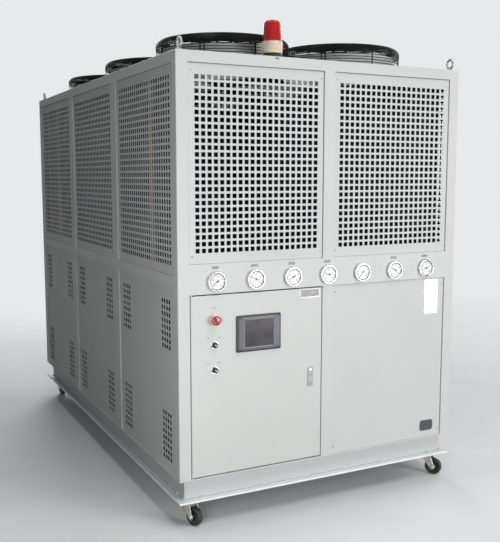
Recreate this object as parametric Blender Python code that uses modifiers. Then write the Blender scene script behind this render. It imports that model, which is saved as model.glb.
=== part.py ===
"""Air cooled water chiller: a packaged box unit with six roof fans, on swivel casters.

The unit stands on the floor plane z = 0 with the origin under its middle.
Its front face looks along -Y and its long sides face -X and +X.
A welded frame of posts and rails carries recessed panels. The upper panels are
perforated and let the air in to two upright coils. The lower panels close the
machine room. A hinged door at the front left covers the control box.
"""

import math

import bmesh
import bpy

# Main sizes in metres
WIDTH = 1.510
LENGTH = 2.580
CABINET_HEIGHT = 1.860
FRAME_UNDERSIDE = 0.120
BASE_HEIGHT = 0.105

# Base channel
FLANGE_BOTTOM_THICK = 0.010
FLANGE_TOP_THICK = 0.006
FLANGE_REACH = 0.090
WEB_INSET = 0.035
WEB_THICK = 0.006
CROSS_BEAM_WIDTH = 0.060
CROSS_BEAM_GAP = 0.900
CASTER_PLATE_SIZE = 0.100
CASTER_PLATE_THICK = 0.006

# Welded frame
CORNER_POST = 0.048
FRAME_DEPTH = 0.030
SIDE_POST_WIDTH = 0.078
SIDE_RAIL_BOTTOM = 0.864
SIDE_RAIL_HEIGHT = 0.046
FRONT_POST_WIDTH = 0.056
FRONT_BORDER = 0.055
GAUGE_RAIL_BOTTOM = 0.829
GAUGE_RAIL_HEIGHT = 0.133
GAUGE_RAIL_THICK = 0.008
ROOF_SKIRT = 0.048

# Sheet work
SHEET = 0.003
PANEL_THICK = 0.002
PANEL_RECESS = 0.006
SEAM = 0.002
SEAT = 0.0003

# Perforation
HOLE_PITCH = 0.0294
HOLE_SIZE = 0.0194
GRID_SIDE_BORDER = 0.029
GRID_END_BORDER = 0.041
VENT_COLUMNS = 4
VENT_ROWS = 8
COLUMNS_PER_SLOT = 2
SLOT_BAR = 0.0196
VENT_EDGE = 0.058
VENT_LOW_BOTTOM = 0.055
VENT_HIGH_BOTTOM = 0.571

# Fans
FAN_SIDE_INSET = 0.427
FAN_END_INSET = 0.455
FAN_ROWS = 3
THROAT_RADIUS = 0.283
THROAT_WALL = 0.006
COLLAR_HEIGHT = 0.075
THROAT_DEPTH = 0.020
THROAT_SIDES = 18
ROTOR_TIP_GAP = 0.010
HUB_RADIUS = 0.080
HUB_HEIGHT = 0.070
HUB_TOP_BELOW_COLLAR = 0.013
BLADE_COUNT = 5
BLADE_THICK = 0.004
BLADE_ROOT_CHORD = 0.080
BLADE_LEAD_DEG = 34.0
BLADE_TIP_DEG = 46.0
BLADE_PITCH_DEG = 22.0
SHAFT_RADIUS = 0.014
SHAFT_IN_HUB = 0.030
SHAFT_SIDES = 12
MOTOR_RADIUS = 0.055
MOTOR_GAP = 0.010

# Fan guards
GUARD_RADIUS = 0.318
GUARD_HEIGHT = 0.117
GUARD_SHOULDER_DROP = 0.026
GUARD_SHOULDER_INSET = 0.023
GUARD_WIRE = 0.0050
GUARD_SEGMENTS = 24
GUARD_STAYS = 8
GUARD_MIDDLE_RADIUS = 0.178
GUARD_HUB_RADIUS = 0.072
GUARD_INNER_STAY = 0.0060
GUARD_TURN_DEG = {"left": 228.2, "right": 225.2}

# Roof fittings
EYE_INSET = 0.032
EYE_RING_RADIUS = 0.021
EYE_WIRE = 0.006
EYE_FOOT_RADIUS = 0.013
EYE_FOOT_HEIGHT = 0.010
BEACON_X = -0.268
BEACON_INSET = 0.062
BEACON_FOOT_RADIUS = 0.040
BEACON_FOOT_HEIGHT = 0.019
BEACON_BASE_RADIUS = 0.047
BEACON_BASE_TOP = 0.070
BEACON_LENS_RADIUS = 0.044
BEACON_TOP_RADIUS = 0.037
BEACON_LENS_HEIGHT = 0.092
BEACON_TOP_EASE = 0.008

# Gauges on the rail
GAUGE_COUNT = 7
GAUGE_PITCH = 0.191
GAUGE_RADIUS = 0.045
GAUGE_SIDES = 16
GAUGE_DIAL_RADIUS = 0.038
GAUGE_PROUD = 0.016
GAUGE_DISH = 0.004
GAUGE_ABOVE_RAIL_BOTTOM = 0.054

# Control door and what it carries
DOOR_THICK = 0.020
DOOR_GAP = 0.0055
HINGE_INSET = 0.003
HINGE_PIN_RADIUS = 0.003
HINGE_KNUCKLE = 0.012
CONTROL_X = 0.172
STOP_Z = 0.713
SWITCH_HIGH_Z = 0.601
SWITCH_LOW_Z = 0.489
STOP_HEAD_RADIUS = 0.021
STOP_HEAD_THICK = 0.013
STOP_PROUD = 0.032
STOP_TRAVEL = 0.004
STOP_STEM_RADIUS = 0.0095
STOP_COLLAR_RADIUS = 0.028
STOP_COLLAR_PROUD = 0.006
STEM_CLEARANCE = 0.0005
STEM_IN_DOOR = 0.015
SWITCH_RADIUS = 0.0155
SWITCH_PROUD = 0.008
SWITCH_GRIP_WIDTH = 0.008
SWITCH_GRIP_PROUD = 0.012
SWITCH_STEM_RADIUS = 0.008
SCREEN_LEFT = 0.277
SCREEN_WIDTH = 0.222
SCREEN_BOTTOM = 0.557
SCREEN_HEIGHT = 0.166
SCREEN_PROUD = 0.012
DISPLAY_LEFT = 0.319
DISPLAY_WIDTH = 0.143
DISPLAY_BOTTOM = 0.581
DISPLAY_HEIGHT = 0.119
DISPLAY_DEPTH = 0.003
LATCH_INSET = 0.0435
LATCH_WIDTH = 0.031
LATCH_BOTTOM = 0.358
LATCH_HEIGHT = 0.093
LATCH_PROUD = 0.003
NAMEPLATE_INSET = 0.0135
NAMEPLATE_WIDTH = 0.105
NAMEPLATE_BOTTOM = 0.781
NAMEPLATE_HEIGHT = 0.039
NAMEPLATE_PROUD = 0.0015

# Inside
FLOOR_INSET = 0.050
DECK_THICK = 0.003
DECK_ABOVE_RAIL_BOTTOM = 0.020
COIL_THICK = 0.050
COIL_INSET = 0.050
COIL_END_INSET = 0.090
BOX_SIDE_GAP = 0.020
BOX_DEPTH = 0.220
BOX_FRONT_GAP = 0.006
BOX_TOP = 0.800
MOUNTING_PLATE_THICK = 0.003
MOUNTING_PLATE_STANDOFF = 0.020

# Water connections on the back
PIPE_RADIUS = 0.038
PIPE_BORE = 0.034
PIPE_FLANGE_RADIUS = 0.085
PIPE_FLANGE_THICK = 0.016
PIPE_PROUD = 0.032
PIPE_X = 0.300
PIPE_LOW_Z = 0.200
PIPE_HIGH_Z = 0.460

# Casters
CASTER_AXIS_INSET = 0.074
WHEEL_RADIUS = 0.043
WHEEL_WIDTH = 0.030
WHEEL_SIDES = 18
CASTER_TRAIL = 0.034
FORK_WALL = 0.004
FORK_GAP = 0.0055
FORK_LEG_WIDTH = 0.036
FORK_CROWN_THICK = 0.010
FORK_CROWN_RADIUS = 0.036
SWIVEL_GAP = 0.006
KINGPIN_RADIUS = 0.012
AXLE_RADIUS = 0.006
AXLE_CLEARANCE = 0.0005
CASTER_TURN_DEG = {"front_left": -70.0, "front_right": -55.0, "back_left": -82.0, "back_right": -60.0}

# Derived places
HALF_W = WIDTH / 2
HALF_L = LENGTH / 2
CAB0 = FRAME_UNDERSIDE + BASE_HEIGHT
FRAME_FOOT = CAB0 + FLANGE_TOP_THICK
ROOF_TOP = CAB0 + CABINET_HEIGHT
POST_TOP = ROOF_TOP - ROOF_SKIRT - SEAT
FRONT_FACE = -HALF_L
FAN_PITCH = (LENGTH - 2 * FAN_END_INSET) / (FAN_ROWS - 1)
HUB_TOP = COLLAR_HEIGHT - HUB_TOP_BELOW_COLLAR
SIDE_BAY = (LENGTH - 2 * CORNER_POST - 2 * SIDE_POST_WIDTH) / 3
FRONT_BAY = (WIDTH - 2 * FRONT_BORDER - FRONT_POST_WIDTH) / 2
DOOR_RIGHT = FRONT_BORDER + FRONT_BAY - DOOR_GAP
LATCH_LEFT = DOOR_RIGHT - LATCH_INSET - LATCH_WIDTH
NAMEPLATE_LEFT = DOOR_RIGHT - NAMEPLATE_INSET - NAMEPLATE_WIDTH
GUARD_SHOULDER_RADIUS = GUARD_RADIUS - GUARD_SHOULDER_INSET


def clear_scene():
    """Remove every object of the open file."""
    for item in list(bpy.data.objects):
        bpy.data.objects.remove(item, do_unlink=True)


def make_collection(name):
    """Return a new collection linked to the scene."""
    group = bpy.data.collections.new(name)
    bpy.context.scene.collection.children.link(group)
    return group


clear_scene()
PARTS = make_collection("air_cooled_water_chiller")
CUTTERS = make_collection("cutters")


def material(name, colour, roughness, metallic=0.0):
    """Return a Principled material of the given colour."""
    mat = bpy.data.materials.new(name)
    mat.use_nodes = True
    shader = mat.node_tree.nodes["Principled BSDF"]
    shader.inputs["Base Color"].default_value = (*colour, 1.0)
    shader.inputs["Roughness"].default_value = roughness
    shader.inputs["Metallic"].default_value = metallic
    mat.diffuse_color = (*colour, 1.0)
    return mat


PAINT = material("powder_coat", (0.62, 0.64, 0.61), 0.45)
BASE_PAINT = material("base_paint", (0.70, 0.72, 0.70), 0.50)
GALVANISED = material("galvanised_sheet", (0.55, 0.56, 0.57), 0.40, 0.8)
FIN = material("coil_fins", (0.45, 0.46, 0.47), 0.45, 0.8)
WIRE = material("guard_black", (0.02, 0.025, 0.02), 0.45)
BLACK = material("black_plastic", (0.02, 0.02, 0.02), 0.40)
RED = material("signal_red", (0.60, 0.02, 0.02), 0.30)
DARK_GREY = material("screen_bezel", (0.08, 0.08, 0.08), 0.40)
ZINC = material("zinc_plate", (0.60, 0.55, 0.40), 0.35, 0.9)
RUBBER = material("caster_tyre", (0.03, 0.03, 0.03), 0.60)
STEEL = material("pipe_steel", (0.40, 0.41, 0.42), 0.40, 0.9)


def link(obj, group, mat=None):
    """Move an object into one collection and give it its material."""
    for other in list(obj.users_collection):
        other.objects.unlink(obj)
    group.objects.link(obj)
    if mat is not None:
        obj.data.materials.clear()
        obj.data.materials.append(mat)
    return obj


def bake_transform(obj):
    """Write an object's placing into its mesh, so that it sits at the origin."""
    obj.data.transform(obj.matrix_basis)
    obj.matrix_basis.identity()
    return obj


def box(name, low, high, group=CUTTERS):
    """Return a box between two corners."""
    bpy.ops.mesh.primitive_cube_add(size=1.0)
    obj = bpy.context.active_object
    obj.name = name
    obj.scale = [b - a for a, b in zip(low, high)]
    obj.location = [(a + b) / 2 for a, b in zip(low, high)]
    return link(bake_transform(obj), group)


def cylinder(name, radius, low, high, axis="Z", at=(0.0, 0.0), sides=24, phase=0.0, group=CUTTERS):
    """Return a cylinder along an axis, between two places on that axis."""
    bpy.ops.mesh.primitive_cylinder_add(vertices=sides, radius=radius, depth=high - low)
    obj = bpy.context.active_object
    obj.name = name
    obj.rotation_euler = (0.0, 0.0, phase)
    bake_transform(obj)
    middle = (low + high) / 2
    if axis == "Z":
        obj.location = (at[0], at[1], middle)
    elif axis == "Y":
        obj.rotation_euler = (math.pi / 2, 0.0, 0.0)
        obj.location = (at[0], middle, at[1])
    else:
        obj.rotation_euler = (0.0, math.pi / 2, 0.0)
        obj.location = (middle, at[0], at[1])
    return link(bake_transform(obj), group)


def rect(x0, z0, x1, z1):
    """Return the corners of a rectangle, anticlockwise."""
    return [(x0, z0), (x1, z0), (x1, z1), (x0, z1)]


def plate(name, outline, holes, low, high, normal="Z", group=CUTTERS):
    """Return a flat plate from a filled 2D curve.

    The outline and the holes are lists of points in the plate's own plane: X and Y
    for normal Z, X and Z for normal Y, and Y and Z for normal X. The plate lies
    between low and high along its normal.
    """
    curve = bpy.data.curves.new(name, "CURVE")
    curve.dimensions = "2D"
    curve.fill_mode = "BOTH"
    curve.extrude = (high - low) / 2
    for points in [outline, *holes]:
        spline = curve.splines.new("POLY")
        spline.points.add(len(points) - 1)
        for point, (u, v) in zip(spline.points, points):
            point.co = (u, v, 0.0, 1.0)
        spline.use_cyclic_u = True
    drawn = bpy.data.objects.new(name + "_curve", curve)
    CUTTERS.objects.link(drawn)
    middle = (low + high) / 2
    if normal == "Z":
        drawn.location = (0.0, 0.0, middle)
    elif normal == "Y":
        drawn.rotation_euler = (math.pi / 2, 0.0, 0.0)
        drawn.location = (0.0, middle, 0.0)
    else:
        drawn.rotation_euler = (math.pi / 2, 0.0, math.pi / 2)
        drawn.location = (middle, 0.0, 0.0)
    obj = meshed(drawn, name, group)
    return obj


def meshed(drawn, name, group=CUTTERS):
    """Turn a curve object into a welded mesh object in the same place."""
    bpy.context.view_layer.update()
    graph = bpy.context.evaluated_depsgraph_get()
    mesh = bpy.data.meshes.new_from_object(drawn.evaluated_get(graph))
    obj = bpy.data.objects.new(name, mesh)
    obj.matrix_world = drawn.matrix_world
    data = drawn.data
    bpy.data.objects.remove(drawn, do_unlink=True)
    bpy.data.curves.remove(data)
    group.objects.link(obj)
    work = bmesh.new()
    work.from_mesh(mesh)
    bmesh.ops.remove_doubles(work, verts=work.verts, dist=0.00001)
    bmesh.ops.recalc_face_normals(work, faces=work.faces)
    work.to_mesh(mesh)
    work.free()
    mesh.materials.clear()
    return bake_transform(obj)


def combine(target, tool, operation):
    """Join a tool to a mesh, or cut it away, and remove the tool."""
    mod = target.modifiers.new(operation.lower(), "BOOLEAN")
    mod.operation = operation
    mod.solver = "EXACT"
    mod.object = tool
    bpy.context.view_layer.update()
    graph = bpy.context.evaluated_depsgraph_get()
    mesh = bpy.data.meshes.new_from_object(target.evaluated_get(graph))
    target.modifiers.clear()
    old = target.data
    target.data = mesh
    bpy.data.meshes.remove(old)
    bpy.data.objects.remove(tool, do_unlink=True)
    return target


def fuse(target, *tools):
    """Join the tools to a mesh, one after another."""
    for tool in tools:
        combine(target, tool, "UNION")
    return target


def cut(target, *tools):
    """Cut the tools out of a mesh, one after another."""
    for tool in tools:
        combine(target, tool, "DIFFERENCE")
    return target


def finish(obj, name, mat, smooth=False):
    """Name a finished piece, colour it and put it in the parts collection."""
    obj.name = name
    obj.data.name = name
    link(obj, PARTS, mat)
    if smooth:
        obj.data.shade_smooth()
        obj.data.set_sharp_from_angle(angle=math.radians(35))
    return obj


def turned(name, profile, steps, group=CUTTERS):
    """Return a turned solid from a closed or axis-to-axis profile of (r, z) points."""
    closed = min(r for r, z in profile) > 0.0
    mesh = bpy.data.meshes.new(name)
    verts = [(r, 0.0, z) for r, z in profile]
    edges = [(i, i + 1) for i in range(len(profile) - 1)]
    if closed:
        edges.append((len(profile) - 1, 0))
    mesh.from_pydata(verts, edges, [])
    obj = bpy.data.objects.new(name, mesh)
    group.objects.link(obj)
    mod = obj.modifiers.new("turn", "SCREW")
    mod.axis = "Z"
    mod.steps = steps
    mod.render_steps = steps
    mod.use_merge_vertices = True
    mod.merge_threshold = 0.00001
    mod.use_normal_calculate = True
    bpy.context.view_layer.update()
    graph = bpy.context.evaluated_depsgraph_get()
    solid = bpy.data.meshes.new_from_object(obj.evaluated_get(graph))
    obj.modifiers.clear()
    obj.data = solid
    bpy.data.meshes.remove(mesh)
    work = bmesh.new()
    work.from_mesh(solid)
    bmesh.ops.remove_doubles(work, verts=work.verts, dist=0.00001)
    bmesh.ops.recalc_face_normals(work, faces=work.faces)
    work.to_mesh(solid)
    work.free()
    return obj


def place(obj, x=0.0, y=0.0, z=0.0, turn=(0.0, 0.0, 0.0)):
    """Turn a mesh about the origin, then move it."""
    obj.rotation_euler = turn
    obj.location = (x, y, z)
    return bake_transform(obj)


def spread_fans(model, kind, mat, turn_deg):
    """Put a turned copy of a piece made about the origin on each fan's axis at roof level."""
    for name, x, y in fan_centres():
        twin = bpy.data.objects.new(kind, model.data.copy())
        PARTS.objects.link(twin)
        finish(twin, f"{kind}_{name}", mat, smooth=True)
        place(twin, x, y, ROOF_TOP, (0.0, 0.0, math.radians(turn_deg[name.split("_")[1]])))
    bpy.data.objects.remove(model, do_unlink=True)


def build_base_frame():
    """Outward channel round the foot, two cross beams and four caster plates."""
    low = FRAME_UNDERSIDE
    outer = rect(-HALF_W, -HALF_L, HALF_W, HALF_L)
    reach = rect(-HALF_W + FLANGE_REACH, -HALF_L + FLANGE_REACH, HALF_W - FLANGE_REACH, HALF_L - FLANGE_REACH)
    frame = plate("foot_flange", outer, [reach], low, low + FLANGE_BOTTOM_THICK)
    top = plate("top_flange", outer, [reach], CAB0, FRAME_FOOT)
    inset = WEB_INSET
    deep = WEB_INSET + WEB_THICK
    web = plate(
        "web",
        rect(-HALF_W + inset, -HALF_L + inset, HALF_W - inset, HALF_L - inset),
        [rect(-HALF_W + deep, -HALF_L + deep, HALF_W - deep, HALF_L - deep)],
        low + FLANGE_BOTTOM_THICK / 2,
        CAB0 + FLANGE_TOP_THICK / 2,
    )
    fuse(frame, web, top)
    for side in (-1, 1):
        middle = side * CROSS_BEAM_GAP / 2
        beam = box(
            "beam",
            (-HALF_W + deep - WEB_THICK / 2, middle - CROSS_BEAM_WIDTH / 2, low + FLANGE_BOTTOM_THICK / 2),
            (HALF_W - deep + WEB_THICK / 2, middle + CROSS_BEAM_WIDTH / 2, CAB0 + FLANGE_TOP_THICK / 2),
        )
        fuse(frame, beam)
    half = CASTER_PLATE_SIZE / 2
    for sx in (-1, 1):
        for sy in (-1, 1):
            x = sx * (HALF_W - CASTER_AXIS_INSET)
            y = sy * (HALF_L - CASTER_AXIS_INSET)
            pad = box(
                "caster_pad",
                (x - half, y - half, low - CASTER_PLATE_THICK),
                (x + half, y + half, low + FLANGE_BOTTOM_THICK / 2),
            )
            fuse(frame, pad)
    return finish(frame, "base_frame", BASE_PAINT)


def build_floor_pan():
    """Sheet floor of the machine room, laid on the base's top flange."""
    x = HALF_W - FLOOR_INSET
    y = HALF_L - FLOOR_INSET
    low = FRAME_FOOT + SEAT
    return finish(box("floor", (-x, -y, low), (x, y, low + SHEET)), "floor_pan", GALVANISED)


def side_bays():
    """Return the start and end of each of the three side bays along Y."""
    bays = []
    start = -HALF_L + CORNER_POST
    for _ in range(3):
        bays.append((start, start + SIDE_BAY))
        start += SIDE_BAY + SIDE_POST_WIDTH
    return bays


def front_bays():
    """Return the start and end of the two front bays along X."""
    left = -HALF_W + FRONT_BORDER
    right = HALF_W - FRONT_BORDER
    return [(left, left + FRONT_BAY), (right - FRONT_BAY, right)]


def build_side_frame(side):
    """Two corner posts, two posts between and a mid rail, welded in one plane."""
    foot = FRAME_FOOT + SEAT
    face = side * HALF_W
    inner = side * (HALF_W - FRAME_DEPTH)
    low_x, high_x = min(face, inner), max(face, inner)
    rail = box(
        "rail",
        (low_x, -HALF_L + CORNER_POST / 2, CAB0 + SIDE_RAIL_BOTTOM),
        (high_x, HALF_L - CORNER_POST / 2, CAB0 + SIDE_RAIL_BOTTOM + SIDE_RAIL_HEIGHT),
    )
    corner = side * (HALF_W - FRONT_BORDER)
    for end in (-1, 1):
        y0, y1 = sorted((end * HALF_L, end * (HALF_L - CORNER_POST)))
        post = box("corner_post", (min(face, corner), y0, foot), (max(face, corner), y1, POST_TOP))
        fuse(rail, post)
    for start, end in side_bays()[:2]:
        post = box("side_post", (low_x, end, foot), (high_x, end + SIDE_POST_WIDTH, POST_TOP))
        fuse(rail, post)
    name = "left_side_frame" if side < 0 else "right_side_frame"
    return finish(rail, name, PAINT)


def build_end_frame(end, name):
    """Centre post of an end face, welded to the flat rail that crosses it."""
    face = end * HALF_L
    inner = end * (HALF_L - FRAME_DEPTH)
    frame = box(
        "centre_post",
        (-FRONT_POST_WIDTH / 2, min(face, inner), FRAME_FOOT + SEAT),
        (FRONT_POST_WIDTH / 2, max(face, inner), POST_TOP),
    )
    x = HALF_W - FRONT_BORDER - SEAT
    back = end * (HALF_L - GAUGE_RAIL_THICK)
    low = CAB0 + GAUGE_RAIL_BOTTOM
    rail = box("rail", (-x, min(face, back), low), (x, max(face, back), low + GAUGE_RAIL_HEIGHT))
    fuse(frame, rail)
    return finish(frame, name, PAINT)


def add_gauges(frame):
    """Weld the row of round pressure gauge cases to the front rail."""
    z = CAB0 + GAUGE_RAIL_BOTTOM + GAUGE_ABOVE_RAIL_BOTTOM
    for index in range(GAUGE_COUNT):
        x = (index - (GAUGE_COUNT - 1) / 2) * GAUGE_PITCH
        case = turned(
            "gauge",
            [
                (0.0, -GAUGE_RAIL_THICK / 2),
                (GAUGE_RADIUS, -GAUGE_RAIL_THICK / 2),
                (GAUGE_RADIUS, GAUGE_PROUD),
                (GAUGE_DIAL_RADIUS, GAUGE_PROUD),
                (GAUGE_DIAL_RADIUS, GAUGE_PROUD - GAUGE_DISH),
                (0.0, GAUGE_PROUD - GAUGE_DISH),
            ],
            GAUGE_SIDES,
        )
        place(case, x, FRONT_FACE, z, (math.pi / 2, 0.0, 0.0))
        fuse(frame, case)
    frame.data.shade_smooth()
    frame.data.set_sharp_from_angle(angle=math.radians(35))


def fan_centres():
    """Return the name and place of each fan: front, middle and back rows, left and right."""
    rows = ["front", "middle", "back"]
    places = []
    for index, row in enumerate(rows):
        y = -HALF_L + FAN_END_INSET + index * FAN_PITCH
        for side, word in ((-1, "left"), (1, "right")):
            places.append((f"{row}_{word}", side * (HALF_W - FAN_SIDE_INSET), y))
    return places


def build_roof():
    """Folded roof sheet with a raised collar round each fan throat."""
    roof = box("roof", (-HALF_W, -HALF_L, ROOF_TOP - ROOF_SKIRT), (HALF_W, HALF_L, ROOF_TOP))
    hollow = box(
        "roof_hollow",
        (-HALF_W + SHEET, -HALF_L + SHEET, ROOF_TOP - 2 * ROOF_SKIRT),
        (HALF_W - SHEET, HALF_L - SHEET, ROOF_TOP - SHEET),
    )
    cut(roof, hollow)
    for _, x, y in fan_centres():
        hole = cylinder(
            "throat_hole",
            THROAT_RADIUS + THROAT_WALL / 2,
            ROOF_TOP - 2 * SHEET,
            ROOF_TOP + SHEET,
            "Z",
            (x, y),
            THROAT_SIDES,
            math.pi / 2,
        )
        cut(roof, hole)
        throat = turned(
            "throat",
            [
                (THROAT_RADIUS + THROAT_WALL, ROOF_TOP + COLLAR_HEIGHT),
                (THROAT_RADIUS + THROAT_WALL, ROOF_TOP - THROAT_DEPTH),
                (THROAT_RADIUS, ROOF_TOP - THROAT_DEPTH),
                (THROAT_RADIUS, ROOF_TOP + COLLAR_HEIGHT),
            ],
            THROAT_SIDES,
        )
        place(throat, x, y)
        fuse(roof, throat)
    return finish(roof, "roof_pan", PAINT)


def build_lifting_eyes():
    """Shouldered eye bolt near each corner of the roof."""
    foot_low = ROOF_TOP + SEAT
    foot_top = foot_low + EYE_FOOT_HEIGHT
    for sy, row in ((-1, "front"), (1, "back")):
        for sx, word in ((-1, "left"), (1, "right")):
            x = sx * (HALF_W - EYE_INSET)
            y = sy * (HALF_L - EYE_INSET)
            eye = cylinder("eye_foot", EYE_FOOT_RADIUS, foot_low, foot_top, "Z", (x, y), 8)
            bpy.ops.mesh.primitive_torus_add(
                major_segments=12, minor_segments=4, major_radius=EYE_RING_RADIUS, minor_radius=EYE_WIRE
            )
            ring = link(bpy.context.active_object, CUTTERS)
            place(ring, x, y, foot_top + EYE_RING_RADIUS, (0.0, math.pi / 2, 0.0))
            fuse(eye, ring)
            finish(eye, f"lifting_eye_{row}_{word}", STEEL)


def grid_size(count):
    """Return the width of a run of square holes, from first edge to last."""
    return (count - 1) * HOLE_PITCH + HOLE_SIZE


def fitting_holes(span, border):
    """Return how many square holes fit in a span with a border at each end."""
    return int((span - 2 * border + HOLE_PITCH - HOLE_SIZE) / HOLE_PITCH)


def slots(centre, bottom, columns, rows):
    """Return tall slots over a grid of square holes, about one for each two columns."""
    width = grid_size(columns)
    count = columns // COLUMNS_PER_SLOT
    slot = (width - (count - 1) * SLOT_BAR) / count
    height = grid_size(rows)
    found = []
    for index in range(count):
        start = centre - width / 2 + index * (slot + SLOT_BAR)
        found.append(rect(start, bottom, start + slot, bottom + height))
    return found


def panel_face(end):
    """Return the near and far sides of a recessed panel from its outer face place."""
    outer = end - math.copysign(PANEL_RECESS, end)
    inner = outer - math.copysign(PANEL_THICK, end)
    return min(outer, inner), max(outer, inner)


def build_end_panels():
    """Upper perforated and lower plain panels of the front and back faces."""
    low_top = CAB0 + GAUGE_RAIL_BOTTOM - SEAM
    high_bottom = CAB0 + GAUGE_RAIL_BOTTOM + GAUGE_RAIL_HEIGHT + SEAT
    high_top = POST_TOP - SEAM
    rows = fitting_holes(high_top - high_bottom, GRID_END_BORDER)
    columns = fitting_holes(FRONT_BAY - 2 * SEAM, GRID_SIDE_BORDER)
    grid_bottom = (high_bottom + high_top - grid_size(rows)) / 2
    for end, face in ((-1, "front"), (1, "back")):
        near, far = panel_face(end * HALF_L)
        for (x0, x1), word in zip(front_bays(), ("left", "right")):
            outline = rect(x0 + SEAM, high_bottom, x1 - SEAM, high_top)
            holes = slots((x0 + x1) / 2, grid_bottom, columns, rows)
            upper = plate("upper", outline, holes, near, far, "Y")
            finish(upper, f"{face}_upper_panel_{word}", PAINT)
            if face == "front" and word == "left":
                continue
            outline = rect(x0 + SEAM, FRAME_FOOT + SEAT, x1 - SEAM, low_top)
            lower = plate("lower", outline, [], near, far, "Y")
            if face == "back" and word == "right":
                for z in (PIPE_LOW_Z, PIPE_HIGH_Z):
                    radius = PIPE_RADIUS + SEAT
                    bore = cylinder("pipe_hole", radius, near - SHEET, far + SHEET, "Y", (PIPE_X, CAB0 + z), 16)
                    cut(lower, bore)
            finish(lower, f"{face}_lower_panel_{word}", PAINT)


def build_side_panels():
    """Upper perforated panels and lower panels with four vent groups, three bays a side."""
    low_bottom = FRAME_FOOT + SEAT
    low_top = CAB0 + SIDE_RAIL_BOTTOM - SEAM
    high_bottom = CAB0 + SIDE_RAIL_BOTTOM + SIDE_RAIL_HEIGHT + SEAT
    high_top = POST_TOP - SEAM
    rows = fitting_holes(high_top - high_bottom, GRID_END_BORDER)
    columns = fitting_holes(SIDE_BAY - 2 * SEAM, GRID_SIDE_BORDER)
    grid_bottom = (high_bottom + high_top - grid_size(rows)) / 2
    group_width = grid_size(VENT_COLUMNS)
    for side, word in ((-1, "left"), (1, "right")):
        near, far = panel_face(side * HALF_W)
        for (y0, y1), row in zip(side_bays(), ("front", "middle", "back")):
            outline = rect(y0 + SEAM, high_bottom, y1 - SEAM, high_top)
            holes = slots((y0 + y1) / 2, grid_bottom, columns, rows)
            upper = plate("upper", outline, holes, near, far, "X")
            finish(upper, f"{word}_upper_panel_{row}", PAINT)
            vents = []
            for bottom in (VENT_LOW_BOTTOM, VENT_HIGH_BOTTOM):
                for middle in (y0 + VENT_EDGE + group_width / 2, y1 - VENT_EDGE - group_width / 2):
                    vents += slots(middle, CAB0 + bottom, VENT_COLUMNS, VENT_ROWS)
            outline = rect(y0 + SEAM, low_bottom, y1 - SEAM, low_top)
            lower = plate("lower", outline, vents, near, far, "X")
            finish(lower, f"{word}_lower_panel_{row}", PAINT)


def build_condenser_deck():
    """Deck between the two rooms, with the upright coil that it carries along each side."""
    deck_low = CAB0 + SIDE_RAIL_BOTTOM + DECK_ABOVE_RAIL_BOTTOM
    x = HALF_W - FRAME_DEPTH - SEAT
    y = HALF_L - CORNER_POST - SEAT
    deck = box("deck", (-x, -y, deck_low), (x, y, deck_low + DECK_THICK))
    for side in (-1, 1):
        outer = side * (HALF_W - COIL_INSET)
        inner = side * (HALF_W - COIL_INSET - COIL_THICK)
        coil = box(
            "coil",
            (min(outer, inner), -HALF_L + COIL_END_INSET, deck_low + DECK_THICK / 2),
            (max(outer, inner), HALF_L - COIL_END_INSET, ROOF_TOP - SHEET - SEAT),
        )
        fuse(deck, coil)
    return finish(deck, "condenser_deck", FIN)


def arc(radius, start, end, steps):
    """Return points along an arc about the origin."""
    return [
        (radius * math.cos(start + (end - start) * k / steps), radius * math.sin(start + (end - start) * k / steps))
        for k in range(steps + 1)
    ]


def sector(inner, outer, middle, stay, steps, near_steps):
    """Return the opening between two rings and two stays, centred on one angle."""
    half = math.pi / GUARD_STAYS
    narrow = half - math.asin(stay / 2 / inner)
    wide = half - math.asin(stay / 2 / outer)
    far = arc(outer, middle - wide, middle + wide, steps)
    near = arc(inner, middle + narrow, middle - narrow, near_steps)
    return far + near


def band(radius, low, high):
    """Return a ring of rectangular section, one wire thick, inside a radius."""
    return turned(
        "band",
        [(radius, high), (radius, low), (radius - GUARD_WIRE, low), (radius - GUARD_WIRE, high)],
        GUARD_SEGMENTS,
    )


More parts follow.
